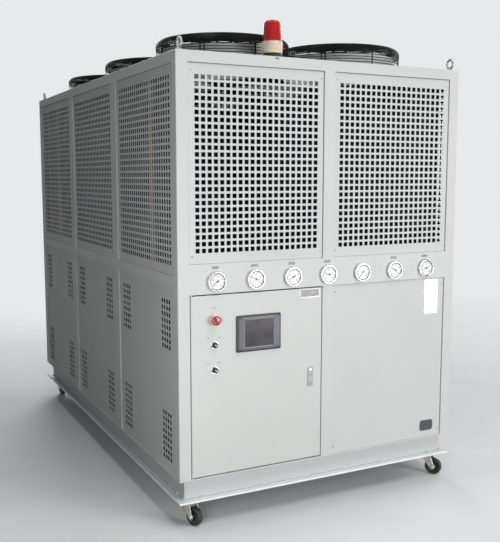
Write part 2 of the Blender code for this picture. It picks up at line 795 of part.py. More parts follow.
def build_guards():
    """Basket guard: a flat web of rings and stays on bent legs, with the motor in the middle."""
    half = GUARD_WIRE / 2
    top = GUARD_HEIGHT
    under = top - GUARD_WIRE
    shoulder = GUARD_HEIGHT - GUARD_SHOULDER_DROP
    steps = GUARD_SEGMENTS // GUARD_STAYS
    openings = []
    for index in range(GUARD_STAYS):
        middle = 2 * math.pi * (index + 0.5) / GUARD_STAYS
        rim = GUARD_SHOULDER_RADIUS - GUARD_WIRE
        openings.append(sector(GUARD_MIDDLE_RADIUS + half, rim, middle, GUARD_WIRE, steps, steps))
        openings.append(sector(GUARD_HUB_RADIUS, GUARD_MIDDLE_RADIUS - half, middle, GUARD_INNER_STAY, steps, 1))
    openings.append(arc(MOTOR_RADIUS * 0.8, 0.1, 0.1 + 2 * math.pi, 7)[:-1])
    outline = arc(GUARD_SHOULDER_RADIUS, 0.0, 2 * math.pi, GUARD_SEGMENTS)[:-1]
    guard = plate("web", outline, openings, under, top)
    fuse(
        guard,
        band(GUARD_RADIUS + half, SEAT, SEAT + GUARD_WIRE),
        band(GUARD_RADIUS + half, shoulder - GUARD_WIRE, shoulder),
    )
    for index in range(GUARD_STAYS):
        leg = plate(
            "leg",
            [
                (GUARD_RADIUS - GUARD_WIRE, SEAT + half),
                (GUARD_RADIUS, SEAT + half),
                (GUARD_RADIUS, shoulder - half),
                (GUARD_SHOULDER_RADIUS - half, top - half / 2),
                (GUARD_SHOULDER_RADIUS - half, under + half / 4),
                (GUARD_RADIUS - GUARD_WIRE, shoulder - GUARD_WIRE * 1.6),
            ],
            [],
            -half,
            half,
            "Y",
        )
        place(leg, turn=(0.0, 0.0, 2 * math.pi * index / GUARD_STAYS))
        fuse(guard, leg)
    motor = turned(
        "motor",
        [
            (0.0, HUB_TOP - SHAFT_IN_HUB),
            (SHAFT_RADIUS, HUB_TOP - SHAFT_IN_HUB),
            (SHAFT_RADIUS, HUB_TOP + MOTOR_GAP),
            (MOTOR_RADIUS, HUB_TOP + MOTOR_GAP),
            (MOTOR_RADIUS, top - half),
            (0.0, top - half),
        ],
        SHAFT_SIDES,
    )
    fuse(guard, motor)
    spread_fans(guard, "fan_guard", WIRE, GUARD_TURN_DEG)


def blade_outline(root, tip):
    """Return the sickle outline of one flat blade, along +X, its tip an arc about the hub."""
    lead = math.radians(BLADE_LEAD_DEG)
    span = math.radians(BLADE_TIP_DEG)
    trail = lead - span
    outer = arc(tip, trail, lead, 3)
    middle = (root + tip) / 2
    bow = lead * 0.30
    return [
        (root, -BLADE_ROOT_CHORD / 2),
        (middle * math.cos(trail + bow), middle * math.sin(trail + bow)),
        *outer,
        (middle * math.cos(bow + span * 0.42), middle * math.sin(bow + span * 0.42)),
        (root, BLADE_ROOT_CHORD / 2),
    ]


def build_rotors():
    """Five broad pitched sickle blades on a round hub, bored for the motor shaft."""
    hub = cylinder("hub", HUB_RADIUS, HUB_TOP - HUB_HEIGHT, HUB_TOP, sides=16)
    tip = THROAT_RADIUS - ROTOR_TIP_GAP
    for index in range(BLADE_COUNT):
        blade = plate("blade", blade_outline(HUB_RADIUS * 0.7, tip), [], -BLADE_THICK / 2, BLADE_THICK / 2)
        place(blade, turn=(math.radians(BLADE_PITCH_DEG), 0.0, 0.0))
        place(blade, 0.0, 0.0, HUB_TOP - HUB_HEIGHT / 2, (0.0, 0.0, 2 * math.pi * index / BLADE_COUNT))
        fuse(hub, blade)
    clear = (SHAFT_RADIUS + SEAT) / math.cos(math.pi / SHAFT_SIDES)
    bore = cylinder("shaft_bore", clear, HUB_TOP - SHAFT_IN_HUB - SEAT, HUB_TOP + SHEET, sides=SHAFT_SIDES)
    cut(hub, bore)
    spread_fans(hub, "fan_rotor", BLACK, {"left": 0.0, "right": 0.0})


def door_x(distance):
    """Return the X place of a distance from the cabinet's left face."""
    return -HALF_W + distance


def raised(name, left, bottom, width, height, proud, root=0.002):
    """Return a block that stands out of the door's face."""
    x = door_x(left)
    z = CAB0 + bottom
    return box(name, (x, FRONT_FACE - proud, z), (x + width, FRONT_FACE + root, z + height))


def build_door():
    """Control door: a thick inset leaf with its pivots, latch, plate and bored holes."""
    (x0, x1), _ = front_bays()
    left = x0 + DOOR_GAP
    right = x1 - DOOR_GAP
    bottom = FRAME_FOOT + DOOR_GAP
    top = CAB0 + GAUGE_RAIL_BOTTOM - DOOR_GAP
    door = box("door", (left, FRONT_FACE, bottom), (right, FRONT_FACE + DOOR_THICK, top))
    fuse(
        door,
        raised("latch", LATCH_LEFT, LATCH_BOTTOM, LATCH_WIDTH, LATCH_HEIGHT, LATCH_PROUD),
        raised("nameplate", NAMEPLATE_LEFT, NAMEPLATE_BOTTOM, NAMEPLATE_WIDTH, NAMEPLATE_HEIGHT, NAMEPLATE_PROUD),
    )
    pivot = (left + HINGE_INSET, FRONT_FACE)
    low_pin = cylinder("low_pin", HINGE_PIN_RADIUS, FRAME_FOOT + SEAT, bottom + HINGE_KNUCKLE, "Z", pivot, 12)
    high_pin = cylinder(
        "high_pin", HINGE_PIN_RADIUS, top - HINGE_KNUCKLE, CAB0 + GAUGE_RAIL_BOTTOM - SEAT, "Z", pivot, 12
    )
    collar = cylinder(
        "collar",
        STOP_COLLAR_RADIUS,
        FRONT_FACE - STOP_COLLAR_PROUD,
        FRONT_FACE + 0.002,
        "Y",
        (door_x(CONTROL_X), CAB0 + STOP_Z),
        16,
    )
    fuse(door, low_pin, high_pin, collar)
    depth = FRONT_FACE + STEM_IN_DOOR + SEAT
    out = FRONT_FACE - 2 * STOP_COLLAR_PROUD
    for radius, z in (
        (STOP_STEM_RADIUS, STOP_Z),
        (SWITCH_STEM_RADIUS, SWITCH_HIGH_Z),
        (SWITCH_STEM_RADIUS, SWITCH_LOW_Z),
    ):
        reach = depth + (STOP_TRAVEL if z == STOP_Z else 0.0)
        bore = cylinder(
            "stem_bore", radius + STEM_CLEARANCE, out, reach, "Y", (door_x(CONTROL_X), CAB0 + z), 12
        )
        cut(door, bore)
    return finish(door, "control_door", PAINT)


def build_door_fittings():
    """Touch screen, mushroom stop button and two selector switches."""
    x = door_x(SCREEN_LEFT)
    z = CAB0 + SCREEN_BOTTOM
    screen = box(
        "screen",
        (x, FRONT_FACE - SEAT - SCREEN_PROUD, z),
        (x + SCREEN_WIDTH, FRONT_FACE - SEAT, z + SCREEN_HEIGHT),
    )
    bevel = screen.modifiers.new("edge", "BEVEL")
    bevel.width = SCREEN_PROUD / 3
    bevel.segments = 1
    bpy.context.view_layer.update()
    graph = bpy.context.evaluated_depsgraph_get()
    mesh = bpy.data.meshes.new_from_object(screen.evaluated_get(graph))
    screen.modifiers.clear()
    screen.data = mesh
    face = FRONT_FACE - SEAT - SCREEN_PROUD
    window = box(
        "window",
        (door_x(DISPLAY_LEFT), face - DISPLAY_DEPTH, CAB0 + DISPLAY_BOTTOM),
        (door_x(DISPLAY_LEFT + DISPLAY_WIDTH), face + DISPLAY_DEPTH, CAB0 + DISPLAY_BOTTOM + DISPLAY_HEIGHT),
    )
    cut(screen, window)
    finish(screen, "touch_screen", DARK_GREY)

    button = turned(
        "button",
        [
            (0.0, -STEM_IN_DOOR),
            (STOP_STEM_RADIUS, -STEM_IN_DOOR),
            (STOP_STEM_RADIUS, STOP_PROUD - STOP_HEAD_THICK),
            (STOP_HEAD_RADIUS, STOP_PROUD - STOP_HEAD_THICK),
            (STOP_HEAD_RADIUS, STOP_PROUD - STOP_HEAD_THICK * 0.45),
            (STOP_HEAD_RADIUS * 0.75, STOP_PROUD - STOP_HEAD_THICK * 0.1),
            (0.0, STOP_PROUD),
        ],
        16,
    )
    place(button, door_x(CONTROL_X), FRONT_FACE, CAB0 + STOP_Z, (math.pi / 2, 0.0, 0.0))
    finish(button, "emergency_stop", RED, smooth=True)

    for word, z in (("upper", SWITCH_HIGH_Z), ("lower", SWITCH_LOW_Z)):
        knob = turned(
            "knob",
            [
                (0.0, -STEM_IN_DOOR),
                (SWITCH_STEM_RADIUS, -STEM_IN_DOOR),
                (SWITCH_STEM_RADIUS, SEAT),
                (SWITCH_RADIUS, SEAT),
                (SWITCH_RADIUS, SWITCH_PROUD * 0.8),
                (SWITCH_RADIUS * 0.86, SWITCH_PROUD),
                (0.0, SWITCH_PROUD),
            ],
            12,
        )
        place(knob, door_x(CONTROL_X), FRONT_FACE, CAB0 + z, (math.pi / 2, 0.0, 0.0))
        centre = door_x(CONTROL_X)
        grip = box(
            "grip",
            (
                centre - SWITCH_GRIP_WIDTH / 2,
                FRONT_FACE - SWITCH_PROUD - SWITCH_GRIP_PROUD,
                CAB0 + z - SWITCH_RADIUS * 0.8,
            ),
            (centre + SWITCH_GRIP_WIDTH / 2, FRONT_FACE - SWITCH_PROUD / 2, CAB0 + z + SWITCH_RADIUS * 0.8),
        )
        fuse(knob, grip)
        finish(knob, f"selector_switch_{word}", BLACK)


def build_control_box():
    """Open-fronted sheet box behind the door, with a raised mounting plate inside."""
    (x0, x1), _ = front_bays()
    left = x0 + BOX_SIDE_GAP
    right = x1 - BOX_SIDE_GAP
    front = FRONT_FACE + DOOR_THICK + BOX_FRONT_GAP
    back = front + BOX_DEPTH
    low = FRAME_FOOT + 2 * SEAT + SHEET
    top = CAB0 + BOX_TOP
    case = box("case", (left, front, low), (right, back, top))
    room = box(
        "room",
        (left + SHEET, front - SHEET, low + SHEET),
        (right - SHEET, back - SHEET, top - SHEET),
    )
    cut(case, room)
    margin = MOUNTING_PLATE_STANDOFF
    panel_front = back - SHEET - MOUNTING_PLATE_STANDOFF - MOUNTING_PLATE_THICK
    mounting = box(
        "mounting",
        (left + SHEET + margin, panel_front, low + SHEET + margin),
        (right - SHEET - margin, back - SHEET / 2, top - SHEET - margin),
    )
    fuse(case, mounting)
    return finish(case, "control_box", GALVANISED)


def build_water_connections():
    """Flanged water inlet and outlet stubs through the lower back panel."""
    for word, z in (("inlet", PIPE_LOW_Z), ("outlet", PIPE_HIGH_Z)):
        inside = HALF_L - PANEL_RECESS - PANEL_THICK - 0.060
        tip = HALF_L + PIPE_PROUD
        pipe = turned(
            "pipe",
            [
                (PIPE_BORE, 0.0),
                (PIPE_RADIUS, 0.0),
                (PIPE_RADIUS, tip - inside - PIPE_FLANGE_THICK),
                (PIPE_FLANGE_RADIUS, tip - inside - PIPE_FLANGE_THICK),
                (PIPE_FLANGE_RADIUS, tip - inside),
                (PIPE_BORE, tip - inside),
            ],
            16,
        )
        place(pipe, PIPE_X, inside, CAB0 + z, (-math.pi / 2, 0.0, 0.0))
        finish(pipe, f"water_{word}", STEEL, smooth=True)


def build_beacon():
    """Warning beacon: a foot, a turned cream base and a red lens in one turned body."""
    low = ROOF_TOP + SEAT
    lamp = turned(
        "lamp",
        [
            (0.0, 0.0),
            (BEACON_FOOT_RADIUS, 0.0),
            (BEACON_FOOT_RADIUS, BEACON_FOOT_HEIGHT),
            (BEACON_BASE_RADIUS, BEACON_FOOT_HEIGHT),
            (BEACON_BASE_RADIUS, BEACON_BASE_TOP),
            (BEACON_LENS_RADIUS, BEACON_BASE_TOP),
            (BEACON_TOP_RADIUS, BEACON_BASE_TOP + BEACON_LENS_HEIGHT - BEACON_TOP_EASE),
            (BEACON_TOP_RADIUS - BEACON_TOP_EASE, BEACON_BASE_TOP + BEACON_LENS_HEIGHT),
            (0.0, BEACON_BASE_TOP + BEACON_LENS_HEIGHT),
        ],
        18,
    )
    place(lamp, BEACON_X, FRONT_FACE + BEACON_INSET, low)
    return finish(lamp, "beacon", RED, smooth=True)


def build_casters():
    """Swivel fork and wheel at each corner of the base."""
    plate_under = FRAME_UNDERSIDE - CASTER_PLATE_THICK
    crown_top = plate_under - SWIVEL_GAP
    crown_low = crown_top - FORK_CROWN_THICK
    leg_inner = WHEEL_WIDTH / 2 + FORK_GAP
    leg_outer = leg_inner + FORK_WALL
    for name, turn in CASTER_TURN_DEG.items():
        sx = -1 if name.endswith("left") else 1
        sy = -1 if name.startswith("front") else 1
        x = sx * (HALF_W - CASTER_AXIS_INSET)
        y = sy * (HALF_L - CASTER_AXIS_INSET)
        spin = (0.0, 0.0, math.radians(turn))

        fork = cylinder("crown", FORK_CROWN_RADIUS, crown_low, crown_top, sides=12)
        pin = cylinder("kingpin", KINGPIN_RADIUS, crown_low + 0.002, plate_under - SEAT, sides=8)
        fuse(fork, pin)
        for side in (-1, 1):
            y0, y1 = sorted((side * leg_inner, side * leg_outer))
            half = FORK_LEG_WIDTH / 2
            outline = [
                (CASTER_TRAIL - half * 0.5, WHEEL_RADIUS - half * 0.7),
                (CASTER_TRAIL + half * 0.5, WHEEL_RADIUS - half * 0.7),
                (CASTER_TRAIL + half * 0.7, WHEEL_RADIUS),
                (half * 1.3, crown_low + FORK_CROWN_THICK / 2),
                (-half * 1.1, crown_low + FORK_CROWN_THICK / 2),
            ]
            leg = plate("leg", outline, [], y0, y1, "Y")
            hole = cylinder(
                "axle_hole",
                AXLE_RADIUS + AXLE_CLEARANCE,
                y0 - FORK_WALL,
                y1 + FORK_WALL,
                "Y",
                (CASTER_TRAIL, WHEEL_RADIUS),
                10,
            )
            cut(leg, hole)
            fuse(fork, leg)
        place(fork, x, y, 0.0, spin)
        finish(fork, f"caster_fork_{name}", ZINC)

        phase = math.pi / WHEEL_SIDES
        flat = WHEEL_RADIUS / math.cos(phase)
        wheel = cylinder(
            "tyre", flat, -WHEEL_WIDTH / 2, WHEEL_WIDTH / 2, "Y", (CASTER_TRAIL, WHEEL_RADIUS), WHEEL_SIDES, phase
        )
        axle = cylinder(
            "axle",
            AXLE_RADIUS,
            -leg_outer - 0.002,
            leg_outer + 0.002,
            "Y",
            (CASTER_TRAIL, WHEEL_RADIUS),
            10,
        )
        fuse(wheel, axle)
        place(wheel, x, y, 0.0, spin)
        finish(wheel, f"caster_wheel_{name}", RUBBER)


def main():
    """Build every piece of the chiller."""
    build_base_frame()
    build_floor_pan()
    build_side_frame(-1)
    build_side_frame(1)
    add_gauges(build_end_frame(-1, "front_frame"))
    build_end_frame(1, "back_frame")
    build_roof()
    build_lifting_eyes()
    build_end_panels()
    build_side_panels()
    build_condenser_deck()
    build_guards()
    build_rotors()
    build_door()
    build_door_fittings()
    build_control_box()
    build_water_connections()
    build_beacon()
    build_casters()


main()
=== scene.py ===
"""Looks of the air cooled water chiller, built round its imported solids.

Each piece is a surface worked out with numpy, in metres and in the frame of the
solids, and rides on the body that carries the real piece. Finishes are node
materials that read object coordinates, so a pattern keeps its true scale.
"""

import logging
import math
from collections.abc import Iterable, Sequence
from dataclasses import dataclass, field
from enum import Enum
from functools import cache

import bmesh
import bpy
import numpy as np
from mathutils import Matrix, Vector


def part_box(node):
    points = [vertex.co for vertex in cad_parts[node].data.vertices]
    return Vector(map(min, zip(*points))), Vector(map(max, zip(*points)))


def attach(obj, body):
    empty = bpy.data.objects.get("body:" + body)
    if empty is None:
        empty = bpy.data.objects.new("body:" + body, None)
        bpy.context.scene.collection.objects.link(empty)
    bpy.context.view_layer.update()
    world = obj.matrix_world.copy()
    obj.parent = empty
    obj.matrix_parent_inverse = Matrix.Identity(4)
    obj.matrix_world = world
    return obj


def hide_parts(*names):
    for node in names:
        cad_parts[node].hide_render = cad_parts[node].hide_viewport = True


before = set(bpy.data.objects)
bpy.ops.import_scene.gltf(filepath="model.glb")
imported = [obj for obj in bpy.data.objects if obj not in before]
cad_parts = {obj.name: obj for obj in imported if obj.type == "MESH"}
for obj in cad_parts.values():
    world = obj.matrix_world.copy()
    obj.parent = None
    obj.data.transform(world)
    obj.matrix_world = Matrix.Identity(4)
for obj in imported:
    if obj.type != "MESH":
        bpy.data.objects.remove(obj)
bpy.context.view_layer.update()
LOG = logging.getLogger("chiller")

HALF_W = 0.755
HALF_L = 1.29
LOW_Z = 0.12
CAB_Z = 0.225
FOOT_Z = CAB_Z + 0.0063
ROOF_Z = CAB_Z + 1.86
SKIRT_Z = CAB_Z + 1.8117
SIDE_RAIL = (CAB_Z + 0.864, CAB_Z + 0.91)
END_RAIL = (CAB_Z + 0.829, CAB_Z + 0.962)
END_BAYS = ((-0.7, -0.028), (0.028, 0.7))
SIDE_BAYS = ((-1.242, -0.466), (-0.388, 0.388), (0.466, 1.242))
FAN_X = 0.328
FAN_Y = (-0.835, 0.0, 0.835)
LAP_Y = 0.4175
SEAT = 0.0003
ROWS = ("front", "middle", "back")
HANDS = {"left": -1.0, "right": 1.0}
TAU = 2 * math.pi
ALONG_X = np.array([(0, 1, 0), (0, 0, 1), (1, 0, 0)], float)
ALONG_Y = np.array([(0, 0, 1), (1, 0, 0), (0, 1, 0)], float)

Point = tuple[float, float, float]
Colour = tuple[float, float, float]
Rows = Sequence[Sequence[float]]
Array = np.ndarray


class Side(Enum):
    """The planes that pieces are set on, by their u, v and outward directions."""

    FRONT = ((1, 0, 0), (0, 0, 1), (0, -1, 0))
    RIGHT = ((0, 1, 0), (0, 0, 1), (1, 0, 0))
    BACK = ((-1, 0, 0), (0, 0, 1), (0, 1, 0))
    LEFT = ((0, -1, 0), (0, 0, 1), (-1, 0, 0))
    TOP = ((1, 0, 0), (0, 1, 0), (0, 0, 1))
    UNDER = ((1, 0, 0), (0, -1, 0), (0, 0, -1))

    @property
    def turn(self) -> Array:
        """Rows are the plane's u, v and outward directions."""
        return np.array(self.value, float)

    @property
    def reach(self) -> float:
        """Distance of the cabinet's face from the origin, along the outward direction."""
        return HALF_L if self in (Side.FRONT, Side.BACK) else HALF_W

    def lift(self, u: Array, v: Array, out: Array) -> Array:
        """Return the point u*U + v*V + out*N for every value of the plane's coordinates.

        Args:
            u: places along the plane.
            v: places up the plane.
            out: distances along the outward direction, from the origin.

        Returns:
            An array of points whose last axis is x, y, z.
        """
        return np.stack(np.broadcast_arrays(u, v, out), -1) @ self.turn

    def stand(self, shell: "Shell", u: float, v: float, out: float, turn: Array | None = None) -> "Shell":
        """Return a copy of a shell that stands on the plane, after a turn of its own.

        Args:
            shell: the shell to copy, made facing +z.
            u: its place along the plane.
            v: its place up the plane.
            out: its distance along the outward direction, from the origin.
            turn: a turn given to it first, or None.

        Returns:
            The copy.
        """
        own = self.turn if turn is None else turn @ self.turn
        return Shell().stamp(shell, [self.lift(u, v, out)], own)


# shader tools


class Signal:
    """A shader socket that takes part in arithmetic, with one Math node for each operator."""

    def __init__(self, tree: bpy.types.NodeTree, socket: bpy.types.NodeSocket) -> None:
        """Hold a socket and the tree that it belongs to."""
        self.tree = tree
        self.socket = socket

    def math(self, operation: str, *values: "Signal | float") -> "Signal":
        """Return the result of one Math node.

        Args:
            operation: the node's operation.
            values: its inputs, in order.

        Returns:
            The node's output.
        """
        node = self.tree.nodes.new("ShaderNodeMath")
        node.operation = operation
        for entry, value in zip(node.inputs, values):
            plug(self.tree, entry, value)
        return Signal(self.tree, node.outputs[0])

    def __add__(self, other: "Signal | float") -> "Signal":
        """Return self + other."""
        return self.math("ADD", self, other)

    def __mul__(self, other: "Signal | float") -> "Signal":
        """Return self * other."""
        return self.math("MULTIPLY", self, other)

    __radd__ = __add__
    __rmul__ = __mul__


def plug(tree: bpy.types.NodeTree, entry: bpy.types.NodeSocket, value: object) -> None:
    """Link a signal to a socket, or write a plain value into it.

    Args:
        tree: the tree that holds the socket.
        entry: the socket.
        value: a Signal, a number, or a tuple of numbers.
    """
    if isinstance(value, Signal):
        tree.links.new(value.socket, entry)
    elif entry.type == "RGBA":
        entry.default_value = (*value[:3], 1.0)
    else:
        entry.default_value = value


def looked_at(tree: bpy.types.NodeTree) -> Signal:
    """Return 1 where a surface is seen by the camera, in metal or through glass, and else 0.

    Args:
        tree: the tree that uses the answer.

    Returns:
        The 0 or 1.
    """
    path = tree.nodes.new("ShaderNodeLightPath")
    kinds = ("Camera", "Glossy", "Transmission")
    eye, gloss, glass = (Signal(tree, path.outputs[f"Is {kind} Ray"]) for kind in kinds)
    return eye.math("MAXIMUM", eye, gloss.math("MAXIMUM", gloss, glass))


class Bench:
    """Builds one node material by short calls."""

    def __init__(self, name: str) -> None:
        """Start a material of the given name.

        Args:
            name: the material's name.
        """
        self.material = bpy.data.materials.new(name)
        self.material.use_nodes = True
        self.tree = self.material.node_tree
        self.shader = self.tree.nodes["Principled BSDF"]
        self.place = self.node("ShaderNodeTexCoord", output="Object")

    def node(
        self,
        kind: str,
        settings: dict[str, object] | None = None,
        sockets: dict[str | int, object] | None = None,
        output: int | str = 0,
    ) -> Signal:
        """Add one node.

        Args:
            kind: the node's type.
            settings: attributes, set first.
            sockets: values or links of its inputs.
            output: which output to return.

        Returns:
            The chosen output.
        """
        made = self.tree.nodes.new(kind)
        for key, value in (settings or {}).items():
            setattr(made, key, value)
        for key, value in (sockets or {}).items():
            plug(self.tree, made.inputs[key], value)
        return Signal(self.tree, made.outputs[output])

    def blend(self, factor: Signal | float, first: object, second: object) -> Signal:
        """Mix two colours by a factor."""
        return self.node("ShaderNodeMix", {"data_type": "RGBA"}, {0: factor, 6: first, 7: second}, 2)

    def stretched(self, stretch: Point) -> Signal:
        """Return object coordinates scaled along each axis."""
        return self.node("ShaderNodeMapping", None, {"Vector": self.place, "Scale": stretch})

    def noise(self, scale: float, detail: float, rough: float, stretch: Point = (1, 1, 1)) -> Signal:
        """Return fractal noise.

        Args:
            scale: waves in a metre.
            detail: octaves.
            rough: weight of the fine octaves.
            stretch: factor along each axis.

        Returns:
            The noise, from 0 to 1.
        """
        spot = self.stretched(stretch)
        sockets = {"Vector": spot, "Scale": scale, "Detail": detail, "Roughness": rough}
        return self.node("ShaderNodeTexNoise", None, sockets)

    def cells(self, scale: float) -> Signal:
        """Return the distance to the nearest of scattered points."""
        return self.node("ShaderNodeTexVoronoi", None, {"Vector": self.place, "Scale": scale})

    def axis(self, index: int) -> Signal:
        """Return one object coordinate: 0, 1 or 2 for x, y or z."""
        return self.node("ShaderNodeSeparateXYZ", None, {0: self.place}, index)

    def fade(self, value: Signal, low: float, high: float, first: float = 0.0, last: float = 1.0) -> Signal:
        """Map a value from low..high to first..last, held at both ends."""
        return self.node("ShaderNodeMapRange", None, {"Value": value, 1: low, 2: high, 3: first, 4: last})

    def upward(self) -> Signal:
        """Return the share of a face that looks up, from 0 to 1.

        Returns:
            The share.
        """
        normal = self.node("ShaderNodeNewGeometry", output="Normal")
        tilt = self.node("ShaderNodeSeparateXYZ", None, {0: normal}, 2)
        return self.fade(tilt, 0.2, 1.0)

    def bump(self, height: Signal, distance: float, strength: float) -> None:
        """Raise the surface by a height of 0 to 1 times a distance in metres."""
        sockets = {"Height": height, "Distance": distance, "Strength": strength}
        self.dress(Normal=self.node("ShaderNodeBump", None, sockets))

    def dress(self, **sockets: object) -> None:
        """Set the shader's sockets; an underscore in a name stands for a space."""
        for key, value in sockets.items():
            plug(self.tree, self.shader.inputs[key.replace("_", " ")], value)


# finishes


def shade(colour: Colour, factor: float) -> Colour:
    """Return a colour times a factor, held to white."""
    return tuple(min(1.0, c * factor) for c in colour)


@dataclass(frozen=True)
class Finish:
    """A finish of the unit. Its material is made once, and like finishes share it."""

    name: str

    def lay(self, bench: Bench) -> None:
        """Build the finish's nodes on a bench."""
        raise NotImplementedError

    def material(self) -> bpy.types.Material:
        """Return the finish's material."""
        return finished(self)


@cache
def finished(finish: Finish) -> bpy.types.Material:
    """Make a finish's material on its first use.

    Args:
        finish: the finish.

    Returns:
        Its material.
    """
    bench = Bench(finish.name)
    finish.lay(bench)
    return bench.material


@dataclass(frozen=True)
class PowderCoat(Finish):
    """Pale powder coat: orange peel, faint clouding, streaks of old rain and dust near the foot."""

    colour: Colour
    rough: float = 0.42
    peel: float = 0.0001
    dust_top: float = 0.75

    def lay(self, bench: Bench) -> None:
        """Cloud the colour, dirty it low down, and raise the peel.

        Args:
            bench: the bench to build on.
        """
        cloud = bench.noise(1.7, 4.0, 0.6)
        streak = bench.noise(9.0, 4.0, 0.6, (1.0, 1.0, 0.07))
        smudge = bench.noise(26.0, 5.0, 0.65)
        height = bench.axis(2)
        low = bench.fade(height, 0.2, self.dust_top, 1.0, 0.0) * bench.fade(smudge, 0.35, 0.75)
        dark = shade(self.colour, 0.965)
        light = shade(self.colour, 1.02)
        base = bench.blend(bench.fade(cloud, 0.3, 0.7), dark, light)
        base = bench.blend(bench.fade(streak, 0.58, 0.85) * 0.07, base, (0.42, 0.43, 0.4))
        base = bench.blend(low * 0.07, base, (0.38, 0.36, 0.31))
        rough = bench.fade(smudge, 0.3, 0.8, self.rough - 0.06, self.rough + 0.1)
        peel = bench.noise(420.0, 2.0, 0.5)
        bench.dress(Base_Color=base, Roughness=rough, Specular_IOR_Level=0.06)
        bench.bump(peel, self.peel, 0.6)


@dataclass(frozen=True)
class Sheet(Finish):
    """Bare or plated sheet metal: spangle or brushing, stains and a fine grain."""

    colour: Colour
    rough: float = 0.38
    spangle: float = 60.0
    grain: Point = (1, 1, 1)
    stain: Colour = (0.3, 0.28, 0.25)

    def lay(self, bench: Bench) -> None:
        """Vary the metal by its crystals and stains, and scratch it along its grain.

        Args:
            bench: the bench to build on.
        """
        crystal = bench.cells(self.spangle)
        stain = bench.noise(7.0, 5.0, 0.65)
        scratch = bench.noise(500.0, 3.0, 0.6, self.grain)
        dark = shade(self.colour, 0.78)
        base = bench.blend(bench.fade(crystal, 0.1, 0.7), self.colour, dark)
        base = bench.blend(bench.fade(stain, 0.56, 0.8) * 0.45, base, self.stain)
        rough = bench.fade(stain, 0.3, 0.8, self.rough - 0.08, self.rough + 0.16)
        bench.dress(Base_Color=base, Roughness=rough, Metallic=0.9)
        bench.bump(scratch, 0.00004, 0.5)


@dataclass(frozen=True)
class Polished(Finish):
    """Bright chrome plate: almost even, with wiped smears and a little dust in them."""

    colour: Colour = (0.7, 0.71, 0.72)
    rough: float = 0.12

    def lay(self, bench: Bench) -> None:
        """Smear the gloss, dull the colour a little with it, and ripple the plate faintly.

        Args:
            bench: the bench to build on.
        """
        smear = bench.noise(22.0, 4.0, 0.6)
        dull = shade(self.colour, 0.86)
        base = bench.blend(bench.fade(smear, 0.45, 0.8), self.colour, dull)
        rough = bench.fade(smear, 0.3, 0.8, self.rough - 0.04, self.rough + 0.1)
        bench.dress(Base_Color=base, Roughness=rough, Metallic=1.0)
        bench.bump(smear, 0.00005, 0.3)


@dataclass(frozen=True)
class Fins(Finish):
    """Coil fins in near-black as painted shade for the dark inside, with darker upright lines painting shade in the
    gaps, and dirty patches.
    """

    colour: Colour = (0.05, 0.052, 0.053)

    def lay(self, bench: Bench) -> None:
        """Paint shade in upright lines between the fins, and dirty them in broad patches.

        Args:
            bench: the bench to build on.
        """
        line = bench.noise(60.0, 3.0, 0.6, (1.0, 6.0, 0.05))
        patch = bench.noise(5.0, 4.0, 0.6)
        # The near-black colour and the darker upright lines are painted shade; the brown patches are dirt.
        base = bench.blend(bench.fade(line, 0.35, 0.7), (0.014, 0.014, 0.015), self.colour)
        base = bench.blend(bench.fade(patch, 0.5, 0.8) * 0.4, base, (0.04, 0.036, 0.03))
        bench.dress(Base_Color=base, Roughness=bench.fade(patch, 0.3, 0.8, 0.5, 0.75), Metallic=0.2)
        bench.bump(line, 0.0006, 0.6)


@dataclass(frozen=True)
class CoatedWire(Finish):
    """Black coated wire with a green tinge, dusty where it looks up."""

    colour: Colour = (0.0075, 0.011, 0.0085)

    def lay(self, bench: Bench) -> None:
        """Dust the tops and roughen the coat.

        Args:
            bench: the bench to build on.
        """
        speck = bench.noise(90.0, 4.0, 0.6)
        dust = bench.upward() * bench.fade(speck, 0.35, 0.75) * 0.1
        base = bench.blend(dust, self.colour, (0.14, 0.14, 0.12))
        rough = bench.fade(speck, 0.3, 0.8, 0.28, 0.5)
        bench.dress(Base_Color=base, Roughness=rough, Specular_IOR_Level=0.06)
        bench.bump(speck, 0.00012, 0.5)


@dataclass(frozen=True)
class Moulded(Finish):
    """Moulded plastic or paint: a fine grain, faint clouding and rubbed patches."""

    colour: Colour
    rough: float = 0.35
    grain: float = 900.0
    raise_by: float = 0.00004
    coat: float = 0.0

    def lay(self, bench: Bench) -> None:
        """Cloud the colour a little, and stipple the surface.

        Args:
            bench: the bench to build on.
        """
        cloud = bench.noise(30.0, 4.0, 0.6)
        dark = shade(self.colour, 0.86)
        light = shade(self.colour, 1.08)
        base = bench.blend(bench.fade(cloud, 0.3, 0.7), dark, light)
        rough = bench.fade(cloud, 0.3, 0.8, self.rough - 0.05, self.rough + 0.08)
        bench.dress(Base_Color=base, Roughness=rough, Coat_Weight=self.coat, Coat_Roughness=0.06)
        bench.bump(bench.noise(self.grain, 2.0, 0.5), self.raise_by, 0.5)


@dataclass(frozen=True)
class Lens(Finish):
    """Clear red lens of the beacon: deep red with painted highlights in upright streaks along its ribs, and painted
    shade low down.
    """

    colour: Colour = (0.7, 0.01, 0.016)

    def lay(self, bench: Bench) -> None:
        """Paint highlights in upright streaks on the ribs, and paint shade on the lens low down.

        Args:
            bench: the bench to build on.
        """
        streak = bench.noise(90.0, 3.0, 0.6, (1.0, 1.0, 0.1))
        # Painted shade darkens the lens low down, and painted highlights brighten the rib streaks.
        low = bench.fade(bench.axis(2), ROOF_Z + 0.07, ROOF_Z + 0.15, 0.6, 1.0)
        deep = shade(self.colour, 0.38)
        base = bench.blend(bench.fade(streak, 0.35, 0.65) * low, deep, self.colour)
        rough = bench.fade(streak, 0.3, 0.7, 0.1, 0.2)
        bench.dress(Base_Color=base, Roughness=rough, IOR=1.5, Specular_IOR_Level=0.25)
        bench.bump(streak, 0.0003, 0.5)


